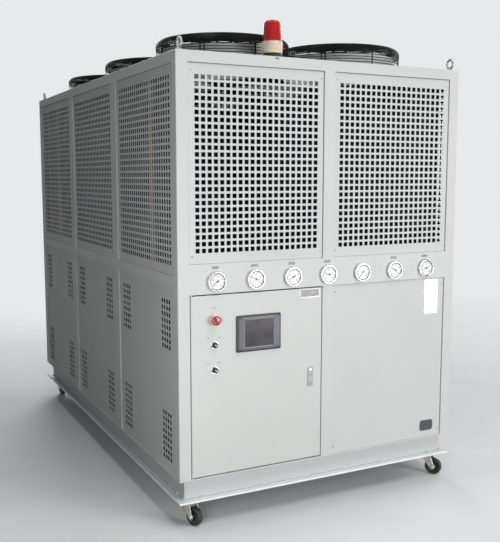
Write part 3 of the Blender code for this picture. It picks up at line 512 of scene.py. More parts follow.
@dataclass(frozen=True)
class Pane(Finish):
    """Thin clear pane over a dial: a faint see-through gloss."""

    colour: Colour = (0.9, 0.93, 0.92)

    def lay(self, bench: Bench) -> None:
        """Let the dial show, with a few wiped smears in the gloss.

        Args:
            bench: the bench to build on.
        """
        smear = bench.noise(60.0, 4.0, 0.6)
        bench.dress(Base_Color=self.colour, Roughness=bench.fade(smear, 0.3, 0.8, 0.03, 0.16), IOR=1.5)
        bench.dress(Alpha=bench.fade(smear, 0.3, 0.9, 0.05, 0.13))


@dataclass(frozen=True)
class Display(Finish):
    """Switched off display: brown grey glass with dust, and a painted reflection that lightens it towards its top.
    """

    colour: Colour = (0.05, 0.047, 0.054)

    def lay(self, bench: Bench) -> None:
        """Paint a reflection that lightens the glass towards its top, and smear it.

        Args:
            bench: the bench to build on.
        """
        smear = bench.noise(22.0, 5.0, 0.6)
        # Painted reflection: the glass blends towards a paler copy of its colour higher up.
        painted_reflection = bench.fade(bench.axis(2), CAB_Z + 0.581, CAB_Z + 0.7)
        pale = shade(self.colour, 1.45)
        base = bench.blend(painted_reflection * 0.6 + bench.fade(smear, 0.4, 0.8) * 0.3, self.colour, pale)
        bench.dress(Base_Color=base, Roughness=bench.fade(smear, 0.3, 0.8, 0.1, 0.3), Coat_Weight=0.12)
        bench.dress(Coat_Roughness=0.05, Specular_IOR_Level=0.2)
        bench.bump(smear, 0.00005, 0.3)


CABINET = PowderCoat("cabinet_powder_coat", (0.632, 0.664, 0.648))
PANEL = PowderCoat("panel_powder_coat", (0.62, 0.652, 0.644), rough=0.46)
BASE = PowderCoat("base_gloss_paint", (0.9, 0.95, 0.98), rough=0.36, dust_top=0.22)
# Darker copy of the base paint for the channel's web and cross beams: painted shade under the top flange.
BASE_WEB_SHADE = PowderCoat("base_web_painted_shade", (0.56, 0.585, 0.59), rough=0.44, dust_top=0.32)
# The collars' own pale paint, made much paler than the cabinet's as painted light on the collars inside the guards.
COLLAR = PowderCoat("collar_paint_painted_light", (0.84, 0.86, 0.85), rough=0.5, dust_top=0.3)
WIRE = CoatedWire("guard_wire_coat")
BLACK = Moulded("black_plastic", (0.018, 0.018, 0.018), 0.34)
BEZEL = Moulded("bezel_plastic", (0.042, 0.045, 0.058), 0.4)
BEZEL_FACE = Moulded("bezel_face", (0.105, 0.107, 0.132), 0.42)
EDGE_LINE = Moulded("bezel_edge_line", (0.34, 0.34, 0.36), 0.3)
RED = Moulded("stop_button_red", (0.46, 0.016, 0.018), 0.26, coat=0.4)
CREAM = Moulded("cream_plastic", (0.72, 0.6, 0.46), 0.3, coat=0.3)
COLLAR_RING = Moulded("stop_ring_cream", (0.78, 0.6, 0.52), 0.36)
DIAL = Moulded("dial_face", (0.84, 0.85, 0.83), 0.45)
# Near-black finish for the inside faces of the frame, roof and panel sheets: painted shade for the dark inside of
# the cabinet.
INSIDE_SHADE = Moulded("inside_painted_shade", (0.014, 0.014, 0.015), 0.75, 300.0, 0.0004)
# Near-black sheet behind the perforated back panels: painted shade, so the view through the cabinet stays dark.
BACK_SHADE_SHEET = Moulded("back_painted_shade_sheet", (0.01, 0.01, 0.011), 0.8, 700.0, 0.0004)
INK = Moulded("dial_ink", (0.025, 0.025, 0.028), 0.5)
GREY_INK = Moulded("grey_label", (0.4, 0.42, 0.42), 0.45)
TAG = Moulded("gauge_tag", (0.29, 0.31, 0.32), 0.45)
SOFT_INK = Moulded("soft_grey_print", (0.22, 0.24, 0.26), 0.5)
POINTER = Moulded("pointer_white", (0.75, 0.76, 0.74), 0.4)
RUBBER = Moulded("caster_rubber", (0.022, 0.022, 0.023), 0.62, 220.0, 0.0003)
CHROME = Polished("chrome_plate")
EYE = Polished("lifting_eye_plate", (0.36, 0.37, 0.37), 0.3)
SILVER = Sheet("satin_plate", (0.5, 0.51, 0.51), 0.36, 40.0, (0.06, 1, 1))
STEEL = Sheet("bare_steel", (0.42, 0.42, 0.42), 0.36, 50.0)
SCREW = Sheet("plated_screw", (0.6, 0.61, 0.61), 0.4, 90.0)
# Near-black sheet for the condenser deck and the coils' plates: painted shade for the dark inside of the cabinet,
# with stains.
INNER_SHEET_SHADE = Sheet("inner_sheet_painted_shade", (0.06, 0.06, 0.058), 0.6, 38.0, stain=(0.035, 0.032, 0.027))
ZINC = Sheet("caster_zinc", (0.6, 0.59, 0.52), 0.32, 45.0, stain=(0.34, 0.32, 0.25))
GALVANISED = Sheet("galvanised_sheet", (0.4, 0.41, 0.42), 0.42, 38.0)
COPPER = Sheet("copper_tube", (0.4, 0.29, 0.22), 0.42, 25.0, stain=(0.2, 0.16, 0.13))
FINS = Fins("coil_fins")
LENS = Lens("beacon_lens")
PANE = Pane("dial_pane")
DISPLAY = Display("display_glass")
TRIM = Moulded("grey_latch", (0.43, 0.45, 0.46), 0.36)
DARK_PLATE = Moulded("dark_plate", (0.05, 0.052, 0.055), 0.38)
NAMEPLATE = Moulded("black_nameplate", (0.016, 0.016, 0.018), 0.22)


# geometry


class Shell:
    """Gathers grids, caps and stamped copies, then makes one mesh of them."""

    def __init__(self) -> None:
        """Start empty."""
        self.points: list[Array] = []
        self.faces: list[Array] = []
        self.slots: list[Array] = []
        self.size = 0

    def add(self, points: Array, faces: Array, slot: int = 0) -> "Shell":
        """Add points and faces that count from their first point.

        Args:
            points: array whose last axis is x, y, z.
            faces: point numbers, a row for each face.
            slot: material slot.

        Returns:
            The shell itself.
        """
        self.points.append(points.reshape(-1, 3))
        self.faces.append(faces + self.size)
        self.slots.append(np.full(len(faces), slot))
        self.size += len(self.points[-1])
        return self

    def grid(
        self,
        points: Array,
        wrap_u: bool = False,
        wrap_v: bool = False,
        keep: Array | None = None,
        flip: bool = False,
        slot: int = 0,
    ) -> "Shell":
        """Add the quads between the points of a grid; each face looks along du x dv.

        Args:
            points: array of shape (u, v, 3).
            wrap_u: whether the last row joins the first.
            wrap_v: whether the last column joins the first.
            keep: mask of the cells to keep.
            flip: whether the faces look the other way.
            slot: material slot.

        Returns:
            The shell itself.
        """
        index = np.arange(points.shape[0] * points.shape[1]).reshape(points.shape[:2])
        if wrap_u:
            index = np.vstack([index, index[:1]])
        if wrap_v:
            index = np.hstack([index, index[:, :1]])
        quads = np.stack([index[:-1, :-1], index[1:, :-1], index[1:, 1:], index[:-1, 1:]], -1)
        quads = quads.reshape(-1, 4) if keep is None else quads[keep]
        return self.add(points, quads[:, ::-1] if flip else quads, slot)

    def cap(self, ring: Array, flip: bool = False, slot: int = 0) -> "Shell":
        """Close a ring of points, anticlockwise from outside, with one face."""
        order = np.arange(len(ring))[None]
        return self.add(ring, order[:, ::-1] if flip else order, slot)

    def stamp(
        self,
        other: "Shell",
        spots: Array | Rows = ((0, 0, 0),),
        turn: Array | None = None,
        slot: int | None = None,
    ) -> "Shell":
        """Add a copy of another shell at each spot, as point @ turn + spot.

        Args:
            other: the shell to copy.
            spots: array of shape (n, 3).
            turn: one turn for all copies, or one for each.
            slot: material slot, or None to keep the other's own.

        Returns:
            The shell itself.
        """
        spots = np.asarray(spots, float).reshape(-1, 1, 3)
        turns = np.eye(3) if turn is None else np.asarray(turn, float)
        base = np.concatenate(other.points)
        count = len(spots)
        points = (base @ turns if turns.ndim == 2 else np.einsum("pi,kij->kpj", base, turns)) + spots
        start = self.size
        self.points.append(points.reshape(-1, 3))
        self.size += count * len(base)
        shift = np.arange(count)[:, None, None] * len(base) + start
        for faces, marks in zip(other.faces, other.slots):
            self.faces.append((faces[None] + shift).reshape(-1, faces.shape[1]))
            marks = marks if slot is None else np.full(len(marks), slot)
            self.slots.append(np.tile(marks, count))
        return self

    def mesh(self, name: str, weld: float = 0.000004) -> bpy.types.Mesh:
        """Write the gathered points and faces into a mesh and weld its seams.

        Args:
            name: name of the mesh.
            weld: distance under which points are merged.

        Returns:
            The mesh.
        """
        made = bpy.data.meshes.new(name)
        points = np.concatenate(self.points).astype(np.float32)
        loops = np.concatenate([f.ravel() for f in self.faces]).astype(np.int32)
        totals = np.concatenate([np.full(len(f), f.shape[1]) for f in self.faces])
        starts = np.concatenate([[0], np.cumsum(totals)[:-1]]).astype(np.int32)
        made.vertices.add(len(points))
        made.vertices.foreach_set("co", points.ravel())
        made.loops.add(len(loops))
        made.loops.foreach_set("vertex_index", loops)
        made.polygons.add(len(totals))
        made.polygons.foreach_set("loop_start", starts)
        made.polygons.foreach_set("material_index", np.concatenate(self.slots).astype(np.int32))
        made.update(calc_edges=True)
        work = bmesh.new()
        work.from_mesh(made)
        bmesh.ops.remove_doubles(work, verts=work.verts, dist=weld)
        bmesh.ops.dissolve_degenerate(work, edges=work.edges, dist=0.0000005)
        loose = [v for v in work.verts if not v.link_faces]
        bmesh.ops.delete(work, geom=loose, context="VERTS")
        work.to_mesh(made)
        work.free()
        return made


def linked(name: str, data: bpy.types.ID) -> bpy.types.Object:
    """Return a new object of some data, linked into the scene.

    Args:
        name: the object's name.
        data: its mesh, curve, light or camera.

    Returns:
        The object.
    """
    made = bpy.data.objects.new(name, data)
    bpy.context.scene.collection.objects.link(made)
    return made


def make_piece(
    name: str,
    shell: Shell,
    finishes: Finish | Sequence[Finish],
    body: str = "cabinet",
    stands_for: Iterable[str] = (),
    crease: float = 35.0,
    wall: float = 0.0,
    lining: Finish | None = None,
) -> bpy.types.Object:
    """Turn a shell into a finished piece that rides on a body.

    Args:
        name: name of the piece.
        shell: its surfaces.
        finishes: one finish for each material slot.
        body: the body that it rides on.
        stands_for: the solids that it replaces.
        crease: edges bent by more than this many degrees are sharp; 0 leaves every face flat.
        wall: thickness given to an open sheet, towards its inside.
        lining: finish of the sheet's inside, or None for its own.

    Returns:
        The piece.
    """
    mesh = shell.mesh(name)
    coats = [finishes] if isinstance(finishes, Finish) else list(finishes)
    for finish in coats + ([lining] if lining else []):
        mesh.materials.append(finish.material())
    piece = linked(name, mesh)
    if wall:
        solid = piece.modifiers.new("wall", "SOLIDIFY")
        solid.thickness = wall
        solid.offset = -1.0
        solid.use_even_offset = True
        solid.material_offset = len(coats) if lining else 0
        bpy.context.view_layer.update()
        baked = bpy.data.meshes.new_from_object(piece.evaluated_get(bpy.context.evaluated_depsgraph_get()))
        piece.modifiers.clear()
        piece.data = baked
        bpy.data.meshes.remove(mesh)
        baked.name = name
    if crease:
        piece.data.shade_smooth()
        piece.data.set_sharp_from_angle(angle=math.radians(crease))
        even = piece.modifiers.new("flat faces stay flat", "WEIGHTED_NORMAL")
        even.keep_sharp = True
    else:
        piece.data.shade_flat()
    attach(piece, body)
    if stands_for:
        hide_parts(*stands_for)
    LOG.info("%s: %d faces", name, len(piece.data.polygons))
    return piece


def eased(corners: Rows, closed: bool = True, steps: int = 3) -> Array:
    """Ease the corners of an outline.

    Each corner c gives way to the parabola (1-s)^2 a + 2s(1-s) c + s^2 b, whose ends a and b
    lie on the two edges, at the corner's ease length from it.

    Args:
        corners: rows of x, y and ease length.
        closed: whether the last corner joins the first.
        steps: spans of each parabola.

    Returns:
        The points of the outline, shape (n, 2).
    """
    rows = np.asarray(corners, float)
    spot, ease = rows[:, :2], rows[:, 2:3].copy()
    if not closed:
        ease[[0, -1]] = 0.0
    back = np.roll(spot, 1, 0) - spot
    ahead = np.roll(spot, -1, 0) - spot
    back /= np.linalg.norm(back, axis=1, keepdims=True) + 1e-12
    ahead /= np.linalg.norm(ahead, axis=1, keepdims=True) + 1e-12
    s = np.linspace(0, 1, steps + 1)[None, :, None]
    first, last, middle = (spot + back * ease)[:, None], (spot + ahead * ease)[:, None], spot[:, None]
    points = ((1 - s) ** 2 * first + 2 * s * (1 - s) * middle + s**2 * last).reshape(-1, 2)
    gap = np.linalg.norm(points - np.roll(points, 1, 0), axis=1)
    gap[0] = 1.0 if not closed else gap[0]
    return points[gap > 1e-7]


def round_box(width: float, height: float, radius: float, steps: int = 4) -> Array:
    """Return a rectangle with round corners about the origin, anticlockwise.

    A corner's points are its arc's centre plus radius (cos a, sin a).

    Args:
        width: size along x.
        height: size along y.
        radius: radius of the corners.
        steps: spans of each corner.

    Returns:
        The points, shape (n, 2).
    """
    quarter = np.linspace(0, math.pi / 2, steps + 1)
    angle = (quarter[None] + np.arange(4)[:, None] * math.pi / 2).ravel()
    signs = np.array([(1, 1), (-1, 1), (-1, -1), (1, -1)]).repeat(steps + 1, 0)
    centre = signs * (np.array([width, height]) / 2 - radius)
    return centre + polar(radius, angle)[:, :2]


def polar(r: Array | float, angle: Array | float, z: Array | float = 0.0) -> Array:
    """Return the points (r cos a, r sin a, z)."""
    return np.stack(np.broadcast_arrays(r * np.cos(angle), r * np.sin(angle), z), -1)


def circle(radius: float, sides: int, start: float = 0.0) -> Array:
    """Return points of a circle about the origin, anticlockwise."""
    return polar(radius, start + TAU * np.arange(sides) / sides)[:, :2]


def inset(outline: Array, depth: float) -> Array:
    """Move an anticlockwise outline inwards along the mean normal of each point.

    Args:
        outline: points, shape (n, 2).
        depth: how far they move.

    Returns:
        The moved points.
    """
    along = np.roll(outline, -1, 0) - np.roll(outline, 1, 0)
    normal = np.stack([along[:, 1], -along[:, 0]], 1)
    return outline - depth * normal / (np.linalg.norm(normal, axis=1, keepdims=True) + 1e-12)


def loft(
    rings: Sequence[tuple[Array, float]],
    slots: Sequence[int] | None = None,
    back: bool = True,
    front: bool = True,
    front_slot: int = 0,
) -> Shell:
    """Join outlines of like point counts, each at its own height, into one body.

    A point is (x, y) of ring k at height k, so the sides are a grid of point number by ring.

    Args:
        rings: outlines with their heights, from the back to the front.
        slots: material slot of each span between rings.
        back: whether the first ring is closed.
        front: whether the last ring is closed.
        front_slot: material slot of the front face.

    Returns:
        A shell in local x, y and height.
    """
    shell = Shell()
    stack = np.stack([np.column_stack([o, np.full(len(o), z)]) for o, z in rings], 1)
    for k in range(len(rings) - 1):
        shell.grid(stack[:, k : k + 2], wrap_u=True, slot=slots[k] if slots else 0)
    if back:
        shell.cap(stack[:, 0], flip=True)
    if front:
        shell.cap(stack[:, -1], slot=front_slot)
    return shell


def slab(outline: Array, low: float, high: float, edge: float = 0.0008, slot: int = 0) -> Shell:
    """Return a plate of the given outline between two heights, its front edge eased by an arc.

    Args:
        outline: the plate's outline.
        low: height of its back.
        high: height of its face.
        edge: radius of the front edge.
        slot: material slot.

    Returns:
        The plate.
    """
    turn = np.linspace(0, math.pi / 2, 4)
    rings = [(outline, low)]
    rings += [(inset(outline, edge * (1 - math.cos(a))), high - edge * (1 - math.sin(a))) for a in turn]
    rings.append((inset(outline, edge * 1.6), high))
    return loft(rings, [slot] * (len(rings) - 1), front_slot=slot)


def lathe(profile: Array | Rows, sides: int, slot: int = 0) -> Shell:
    """Turn a profile about the z axis: the point at angle a is (r cos a, r sin a, z).

    Args:
        profile: rows of r and z; the outside of the body lies to the right of its course.
        sides: number of steps of the turn.
        slot: material slot.

    Returns:
        The turned shell.
    """
    r, z = np.asarray(profile, float).T[:, None]
    return Shell().grid(polar(r, TAU * np.arange(sides)[:, None] / sides, z), wrap_u=True, slot=slot)


def turned(corners: Rows, sides: int, slot: int = 0, steps: int = 3) -> Shell:
    """Turn an open profile of r, z and ease length about the z axis."""
    return lathe(eased(corners, closed=False, steps=steps), sides, slot)


def drum(radius: float, low: float, high: float, sides: int, slot: int = 0) -> Shell:
    """Return a closed plain pin or washer about the z axis."""
    return lathe([(0, low), (radius, low), (radius, high), (0, high)], sides, slot)


def ring(radius: float, height: float, wire: float, around: int = 72, sides: int = 5) -> Shell:
    """Return a torus: ((R + w cos b) cos a, (R + w cos b) sin a, h + w sin b).

    Args:
        radius: R, to the middle of the wire.
        height: h, of the ring's plane.
        wire: w, radius of the wire.
        around: steps of a.
        sides: steps of b.

    Returns:
        The ring.
    """
    a = TAU * np.arange(around)[:, None] / around
    b = TAU * np.arange(sides)[None] / sides
    points = polar(radius + wire * np.cos(b), a, height + wire * np.sin(b))
    return Shell().grid(points, wrap_u=True, wrap_v=True)


def tube(path: Array, radius: float, across: Sequence[float], sides: int = 8, caps: bool = True) -> Shell:
    """Sweep a circle along a path that lies in a plane.

    With t the unit course and A = t x n, B = t x A, the surface is p + r (cos a A + sin a B).

    Args:
        path: points, shape (n, 3).
        radius: radius of the circle.
        across: unit normal n of the path's plane.
        sides: points of the circle.
        caps: whether the ends are closed.

    Returns:
        The tube.
    """
    course = np.gradient(path, axis=0)
    course /= np.linalg.norm(course, axis=1, keepdims=True) + 1e-12
    first = np.cross(course, np.asarray(across, float))
    first /= np.linalg.norm(first, axis=1, keepdims=True)
    second = np.cross(course, first)
    angle = (TAU * np.arange(sides) / sides)[:, None, None]
    points = path[None] + radius * (np.cos(angle) * first[None] + np.sin(angle) * second[None])
    shell = Shell().grid(points, wrap_u=True)
    if caps:
        shell.cap(points[:, 0], flip=True).cap(points[:, -1])
    return shell


def holed_cell(
    centre: Sequence[float],
    radius: float,
    low: Sequence[float],
    high: Sequence[float],
    sides: int = 48,
    rings: int = 2,
) -> Array:
    """Return a grid between a round hole and the rectangle round it.

    At angle a the point is c + (1-t) radius (cos a, sin a) + t e(a), where e(a) is where that ray
    meets the rectangle. The nearest rays are turned to pass through its corners.

    Args:
        centre: the hole's centre.
        radius: its radius.
        low: the rectangle's low corner.
        high: its high corner.
        sides: rays round the hole.
        rings: cells from hole to edge.

    Returns:
        Points of shape (sides, rings + 1, 2); the face looks up when the grid is flipped.
    """
    c, lo, hi = (np.asarray(v, float) for v in (centre, low, high))
    angle = TAU * np.arange(sides) / sides
    corners = np.array([(hi[0], hi[1]), (lo[0], hi[1]), (lo[0], lo[1]), (hi[0], lo[1])]) - c
    toward = np.arctan2(corners[:, 1], corners[:, 0]) % TAU
    angle[np.round(toward / TAU * sides).astype(int) % sides] = toward
    ray = np.stack([np.cos(angle), np.sin(angle)], 1)
    ray = np.where(np.abs(ray) < 1e-9, 1e-9, ray)
    edge = ray * np.min(np.where(ray > 0, hi - c, lo - c) / ray, axis=1, keepdims=True)
    t = np.linspace(0, 1, rings + 1)[None, :, None]
    return c + (1 - t) * radius * ray[:, None] + t * edge[:, None]


def lettering(word: str, height: float, lift: float = 0.0002) -> Shell:
    """Return a plain word as flat raised letters, centred on the origin, facing +z.

    Args:
        word: the letters.
        height: their size.
        lift: their height.

    Returns:
        The letters as triangles.
    """
    curve = bpy.data.curves.new("letters", "FONT")
    curve.body = word
    curve.size = height
    curve.align_x = "CENTER"
    curve.align_y = "CENTER"
    curve.resolution_u = 2
    holder = linked("letters", curve)
    bpy.context.view_layer.update()
    mesh = bpy.data.meshes.new_from_object(holder.evaluated_get(bpy.context.evaluated_depsgraph_get()))
    points = np.zeros(len(mesh.vertices) * 3, np.float32)
    mesh.vertices.foreach_get("co", points)
    points = points.reshape(-1, 3).astype(float)
    points[:, 2] = lift
    mesh.calc_loop_triangles()
    tris = np.zeros(len(mesh.loop_triangles) * 3, np.int32)
    mesh.loop_triangles.foreach_get("vertices", tris)
    tris = tris.reshape(-1, 3)
    a, b, c = (points[tris[:, k], :2] for k in range(3))
    wrong = (b[:, 0] - a[:, 0]) * (c[:, 1] - a[:, 1]) - (b[:, 1] - a[:, 1]) * (c[:, 0] - a[:, 0]) < 0
    tris[wrong] = tris[wrong][:, ::-1]
    bpy.data.objects.remove(holder, do_unlink=True)
    bpy.data.curves.remove(curve)
    bpy.data.meshes.remove(mesh)
    return Shell().add(points, tris)


def fold_lines(core: Array, low: float, high: float, bend: float, back: float) -> tuple[Array, Array]:
    """Return the places and depths of a sheet's grid lines along one axis.

    Lines in the flat have no depth. At each end come the lines of a quarter bend,
    bend (sin a, 1 - cos a), and then the edge of the flange at its full depth.

    Args:
        core: lines of the flat part.
        low: low edge of the folded sheet.
        high: its high edge.
        bend: radius of the bend.
        back: depth of the flange.

    Returns:
        Places and depths.
    """
    turn = np.linspace(0, math.pi / 2, 4)
    out = np.append(bend * np.sin(turn), bend)
    deep = np.append(bend * (1 - np.cos(turn)), back)
    place = np.concatenate([(low + bend - out)[::-1], core, high - bend + out])
    return place, np.concatenate([deep[::-1], np.zeros(len(core)), deep])


def runs(start: float, count: int, pitch: float, size: float) -> Array:
    """Return the low and high edges of a run of like holes, shape (count, 2)."""
    first = start + pitch * np.arange(count)
    return np.stack([first, first + size], 1)


def folded_sheet(
    side: Side, out: float, spans: Rows, holes: Sequence[Array], bend: float, back: float
) -> Shell:
    """Lay a sheet on grid lines at every hole's edges, drop the hole cells and fold the edges.

    The point at lines i, j is (u(i), v(j)) at the greater of the two lines' depths behind the face.

    Args:
        side: the plane that the sheet lies along.
        out: distance of its face from the origin.
        spans: its low and high edges along u and along v.
        holes: low and high edges of the hole columns and of the hole rows.
        bend: radius of the folded edges.
        back: depth of the flanges.

    Returns:
        The sheet, without thickness.
    """
    lines, depths, gone = [], [], []
    for (low, high), bands in zip(spans, holes):
        core = np.unique(np.round([low + bend, *np.ravel(bands), high - bend], 7))
        place, deep = fold_lines(core, low, high, bend, back)
        middle = (place[1:] + place[:-1])[:, None] / 2
        lines.append(place)
        depths.append(deep)
        gone.append(((middle > bands[:, 0]) & (middle < bands[:, 1])).any(1))
    deep = np.maximum(depths[0][:, None], depths[1][None])
    keep = ~(gone[0][:, None] & gone[1][None])
    return Shell().grid(side.lift(lines[0][:, None], lines[1][None], out - deep), keep=keep)


def fans() -> list[tuple[str, str, Point]]:
    """Return each fan's name, its hand and where its axis meets the roof."""
    rows, hands = zip(ROWS, FAN_Y), HANDS.items()
    return [(f"{row}_{hand}", hand, (sign * FAN_X, y, ROOF_Z)) for row, y in rows for hand, sign in hands]


def quarters(x: float, y: float) -> dict[str, Array]:
    """Return the points (-x or x, -y or y, 0) by the names of the cabinet's corners."""
    ends, hands = {"front": -y, "back": y}, HANDS.items()
    return {f"{row}_{hand}": np.array([sign * x, end, 0.0]) for row, end in ends.items() for hand, sign in hands}


# the assembly


@dataclass
class FrameSkin:
    """Welded outer frame: posts, rails and roof skirt in one face, with folded window edges."""

    corner: float = 0.004
    wall: float = 0.0015
    lip: float = 0.024
    rim: float = 0.02
    arc_steps: int = 5

    def levels(self) -> tuple[Array, Array]:
        """Return heights and insets: upright to the roof's edge, then a quarter arc and a flat rim.

        Returns:
            Heights and insets.
        """
        flat = [FOOT_Z, END_RAIL[0], SIDE_RAIL[0], SIDE_RAIL[1], END_RAIL[1], SKIRT_Z]
        turn = np.linspace(0, math.pi / 2, self.arc_steps)
        z = np.concatenate([flat, ROOF_Z - self.corner * (1 - np.sin(turn)), [ROOF_Z]])
        d = np.concatenate([np.zeros(len(flat)), self.corner * (1 - np.cos(turn)), [self.rim]])
        return z, d

    def perimeter(self) -> tuple[Array, Array, list[tuple[int, float]]]:
        """Return the points and normals of the loop round the cabinet, and what face each span is on.

        Returns:
            Points, normals, and each span's face number and place; -1 at a corner.
        """
        points, normals, marks = [], [], []
        turn = np.linspace(0, math.pi / 2, self.arc_steps)
        for number, (side, bays, half) in enumerate(self.faces()):
            lines = np.array([-half + self.corner, *np.ravel(bays), half - self.corner])
            flat = side.lift(lines, 0.0, side.reach)[:, :2]
            u, n = side.turn[0][:2], side.turn[2][:2]
            centre = u * (half - self.corner) + n * (side.reach - self.corner)
            away = np.cos(turn)[:, None] * n + np.sin(turn)[:, None] * u
            points += [flat, (centre + self.corner * away)[1:-1]]
            normals += [np.tile(n, (len(flat), 1)), away[1:-1]]
            marks += [(number, line) for line in lines] + [(-1, 0.0)] * (len(turn) - 2)
        return np.concatenate(points), np.concatenate(normals), marks

    def faces(self) -> list[tuple[Side, tuple, float]]:
        """Return each upright face with its bays and half its length.

        Returns:
            Rows of side, bays and half length.
        """
        return [
            (Side.FRONT, END_BAYS, HALF_W),
            (Side.RIGHT, SIDE_BAYS, HALF_L),
            (Side.BACK, END_BAYS, HALF_W),
            (Side.LEFT, SIDE_BAYS, HALF_L),
        ]

    def build(self) -> None:
        """Lay the band of faces round the cabinet, drop the windows and fold their edges in.

        The band's point at level k is p - d(k) n at height z(k). On the flat rim the point is
        p held inside the rim's rectangle.
        """
        z, d = self.levels()
        spot, normal, marks = self.perimeter()
        flat = spot[:, None] - d[None, :, None] * normal[:, None]
        limit = np.array([HALF_W, HALF_L]) - self.rim
        flat[:, -1] = np.clip(spot, -limit, limit)
        points = np.concatenate([flat, np.broadcast_to(z[None, :, None], (*flat.shape[:2], 1))], -1)
        keep = np.ones((len(spot), len(z) - 1), bool)
        shell = Shell()
        for number, (side, bays, _) in enumerate(self.faces()):
            rail = END_RAIL if side in (Side.FRONT, Side.BACK) else SIDE_RAIL
            for low, high in ((FOOT_Z, rail[0]), (rail[1], SKIRT_Z)):
                rows = np.flatnonzero((z[:-1] >= low - 1e-6) & (z[1:] <= high + 1e-6) & (d[1:] == 0))
                stops = z[rows[0] : rows[-1] + 2]
                for start, end in bays:
                    keep[marks.index((number, start)), rows] = False
                    self.fold_window(shell, side, start, end, stops)
        shell.grid(points, wrap_u=True, keep=keep)
        frames = [f"{word}_frame" for word in ("left_side", "right_side", "front", "back")]
        make_piece("frame_skin", shell, CABINET, stands_for=frames, wall=self.wall, lining=INSIDE_SHADE)

    def fold_window(self, shell: Shell, side: Side, start: float, end: float, stops: Array) -> None:
        """Add the folded edge of one window: its outline carried straight inwards.

        Args:
            shell: the shell to add to.
            side: the face that the window is in.
            start: the window's low u.
            end: its high u.
            stops: heights of its upright edges' points.
        """
        us = np.concatenate([np.full(len(stops), start), np.full(len(stops), end)])
        vs = np.concatenate([stops[::-1], stops])
        deep = np.array([0.0, self.lip])[None]
        shell.grid(side.lift(us[:, None], vs[:, None], side.reach - deep), wrap_u=True)


@dataclass
class Roof:
    """Roof sheet with a raised, rolled collar round each fan throat."""

    rim: float = 0.02
    wall: float = 0.0015
    hole: float = 0.295
    collar: float = 0.289
    throat: float = 0.283
    height: float = 0.075
    drop: float = 0.02
    flange: float = 0.3045
    screws: int = 12

    def build(self) -> None:
        """Make the sheet and the collars."""
        sheet = Shell()
        ys = (-HALF_L + self.rim, -LAP_Y, LAP_Y, HALF_L - self.rim)
        xs = (-HALF_W + self.rim, 0.0, HALF_W - self.rim)
        for row, y in enumerate(FAN_Y):
            for column, x in enumerate((-FAN_X, FAN_X)):
                low, high = (xs[column], ys[row]), (xs[column + 1], ys[row + 1])
                flat = holed_cell((x, y), self.hole, low, high, 72, 3)
                sheet.grid(Side.TOP.lift(flat[..., 0], flat[..., 1], ROOF_Z), wrap_u=True, flip=True)
        make_piece("roof_sheet", sheet, CABINET, stands_for=["roof_pan"], wall=self.wall, lining=INSIDE_SHADE)
        self.build_collars()
        self.build_seams()

    def build_collars(self) -> None:
        """Turn each collar, a flat flange, upright wall and rolled lip, and set its screws."""
        bead = (self.collar - self.throat) / 2
        lip = np.linspace(0, math.pi, 9)
        top = np.stack([self.throat + bead + bead * np.cos(lip), self.height - bead + bead * np.sin(lip)], 1)
        low = [(self.flange, 0.0, 0), (self.flange, 0.002, 0.0008), (self.collar, 0.002, 0.008)]
        low.append((self.collar, self.height - bead, 0))
        base = eased(low, closed=False, steps=4)
        inner = np.array([(self.throat, -self.drop), (self.throat + 0.003, -self.drop), (self.collar, 0.0)])
        profile = np.concatenate([base, top, inner, base[:1]])
        angle = TAU * (np.arange(self.screws) + 0.5) / self.screws
        heads = polar((self.flange + self.collar + 0.004) / 2, angle, 0.002)
        model = lathe(profile, 96).stamp(screw_head(0.0035, 0.0018, 8), heads, slot=1)
        make_piece("fan_collars", Shell().stamp(model, [spot for _, _, spot in fans()]), [COLLAR, SCREW])

    def build_seams(self) -> None:
        """Lay the two standing laps where the roof's three sheets join, and their rivets."""
        lap = slab(round_box(2 * (HALF_W - 0.012), 0.03, 0.001, 2), 0.0, 0.0016, 0.0006)
        rivet = screw_head(0.0032, 0.0014, 8)
        shell = Shell().stamp(lap, [(0, -LAP_Y, ROOF_Z), (0, LAP_Y, ROOF_Z)])
        xs = np.linspace(-0.7, 0.7, 15)
        for y in (-LAP_Y, LAP_Y):
            shell.stamp(rivet, np.stack([xs, np.full(15, y), np.full(15, ROOF_Z + 0.0016)], 1), slot=1)
        make_piece("roof_laps", shell, [CABINET, SCREW])


def screw_head(radius: float, height: float, sides: int = 10) -> Shell:
    """Return a low domed screw head that stands on z = 0.

    Args:
        radius: its radius.
        height: its height.
        sides: steps round it.

    Returns:
        The head.
    """
    turn = np.linspace(0.15, math.pi / 2, 4)
    dome = np.stack([radius * np.cos(turn), height * np.sin(turn)], 1)
    dome[-1] = (0.0, height)
    return lathe(np.concatenate([[(radius, 0.0)], dome]), sides)


def hex_head(across: float, height: float) -> Shell:
    """Return a hexagon bolt head with a chamfered top, standing on z = 0.

    Args:
        across: width across its flats.
        height: its height.

    Returns:
        The head.
    """
    flat = circle(across / math.sqrt(3), 6, math.pi / 6)
    rings = [(flat, 0.0), (flat, height * 0.82), (flat * 0.9, height)]
    return loft(rings)


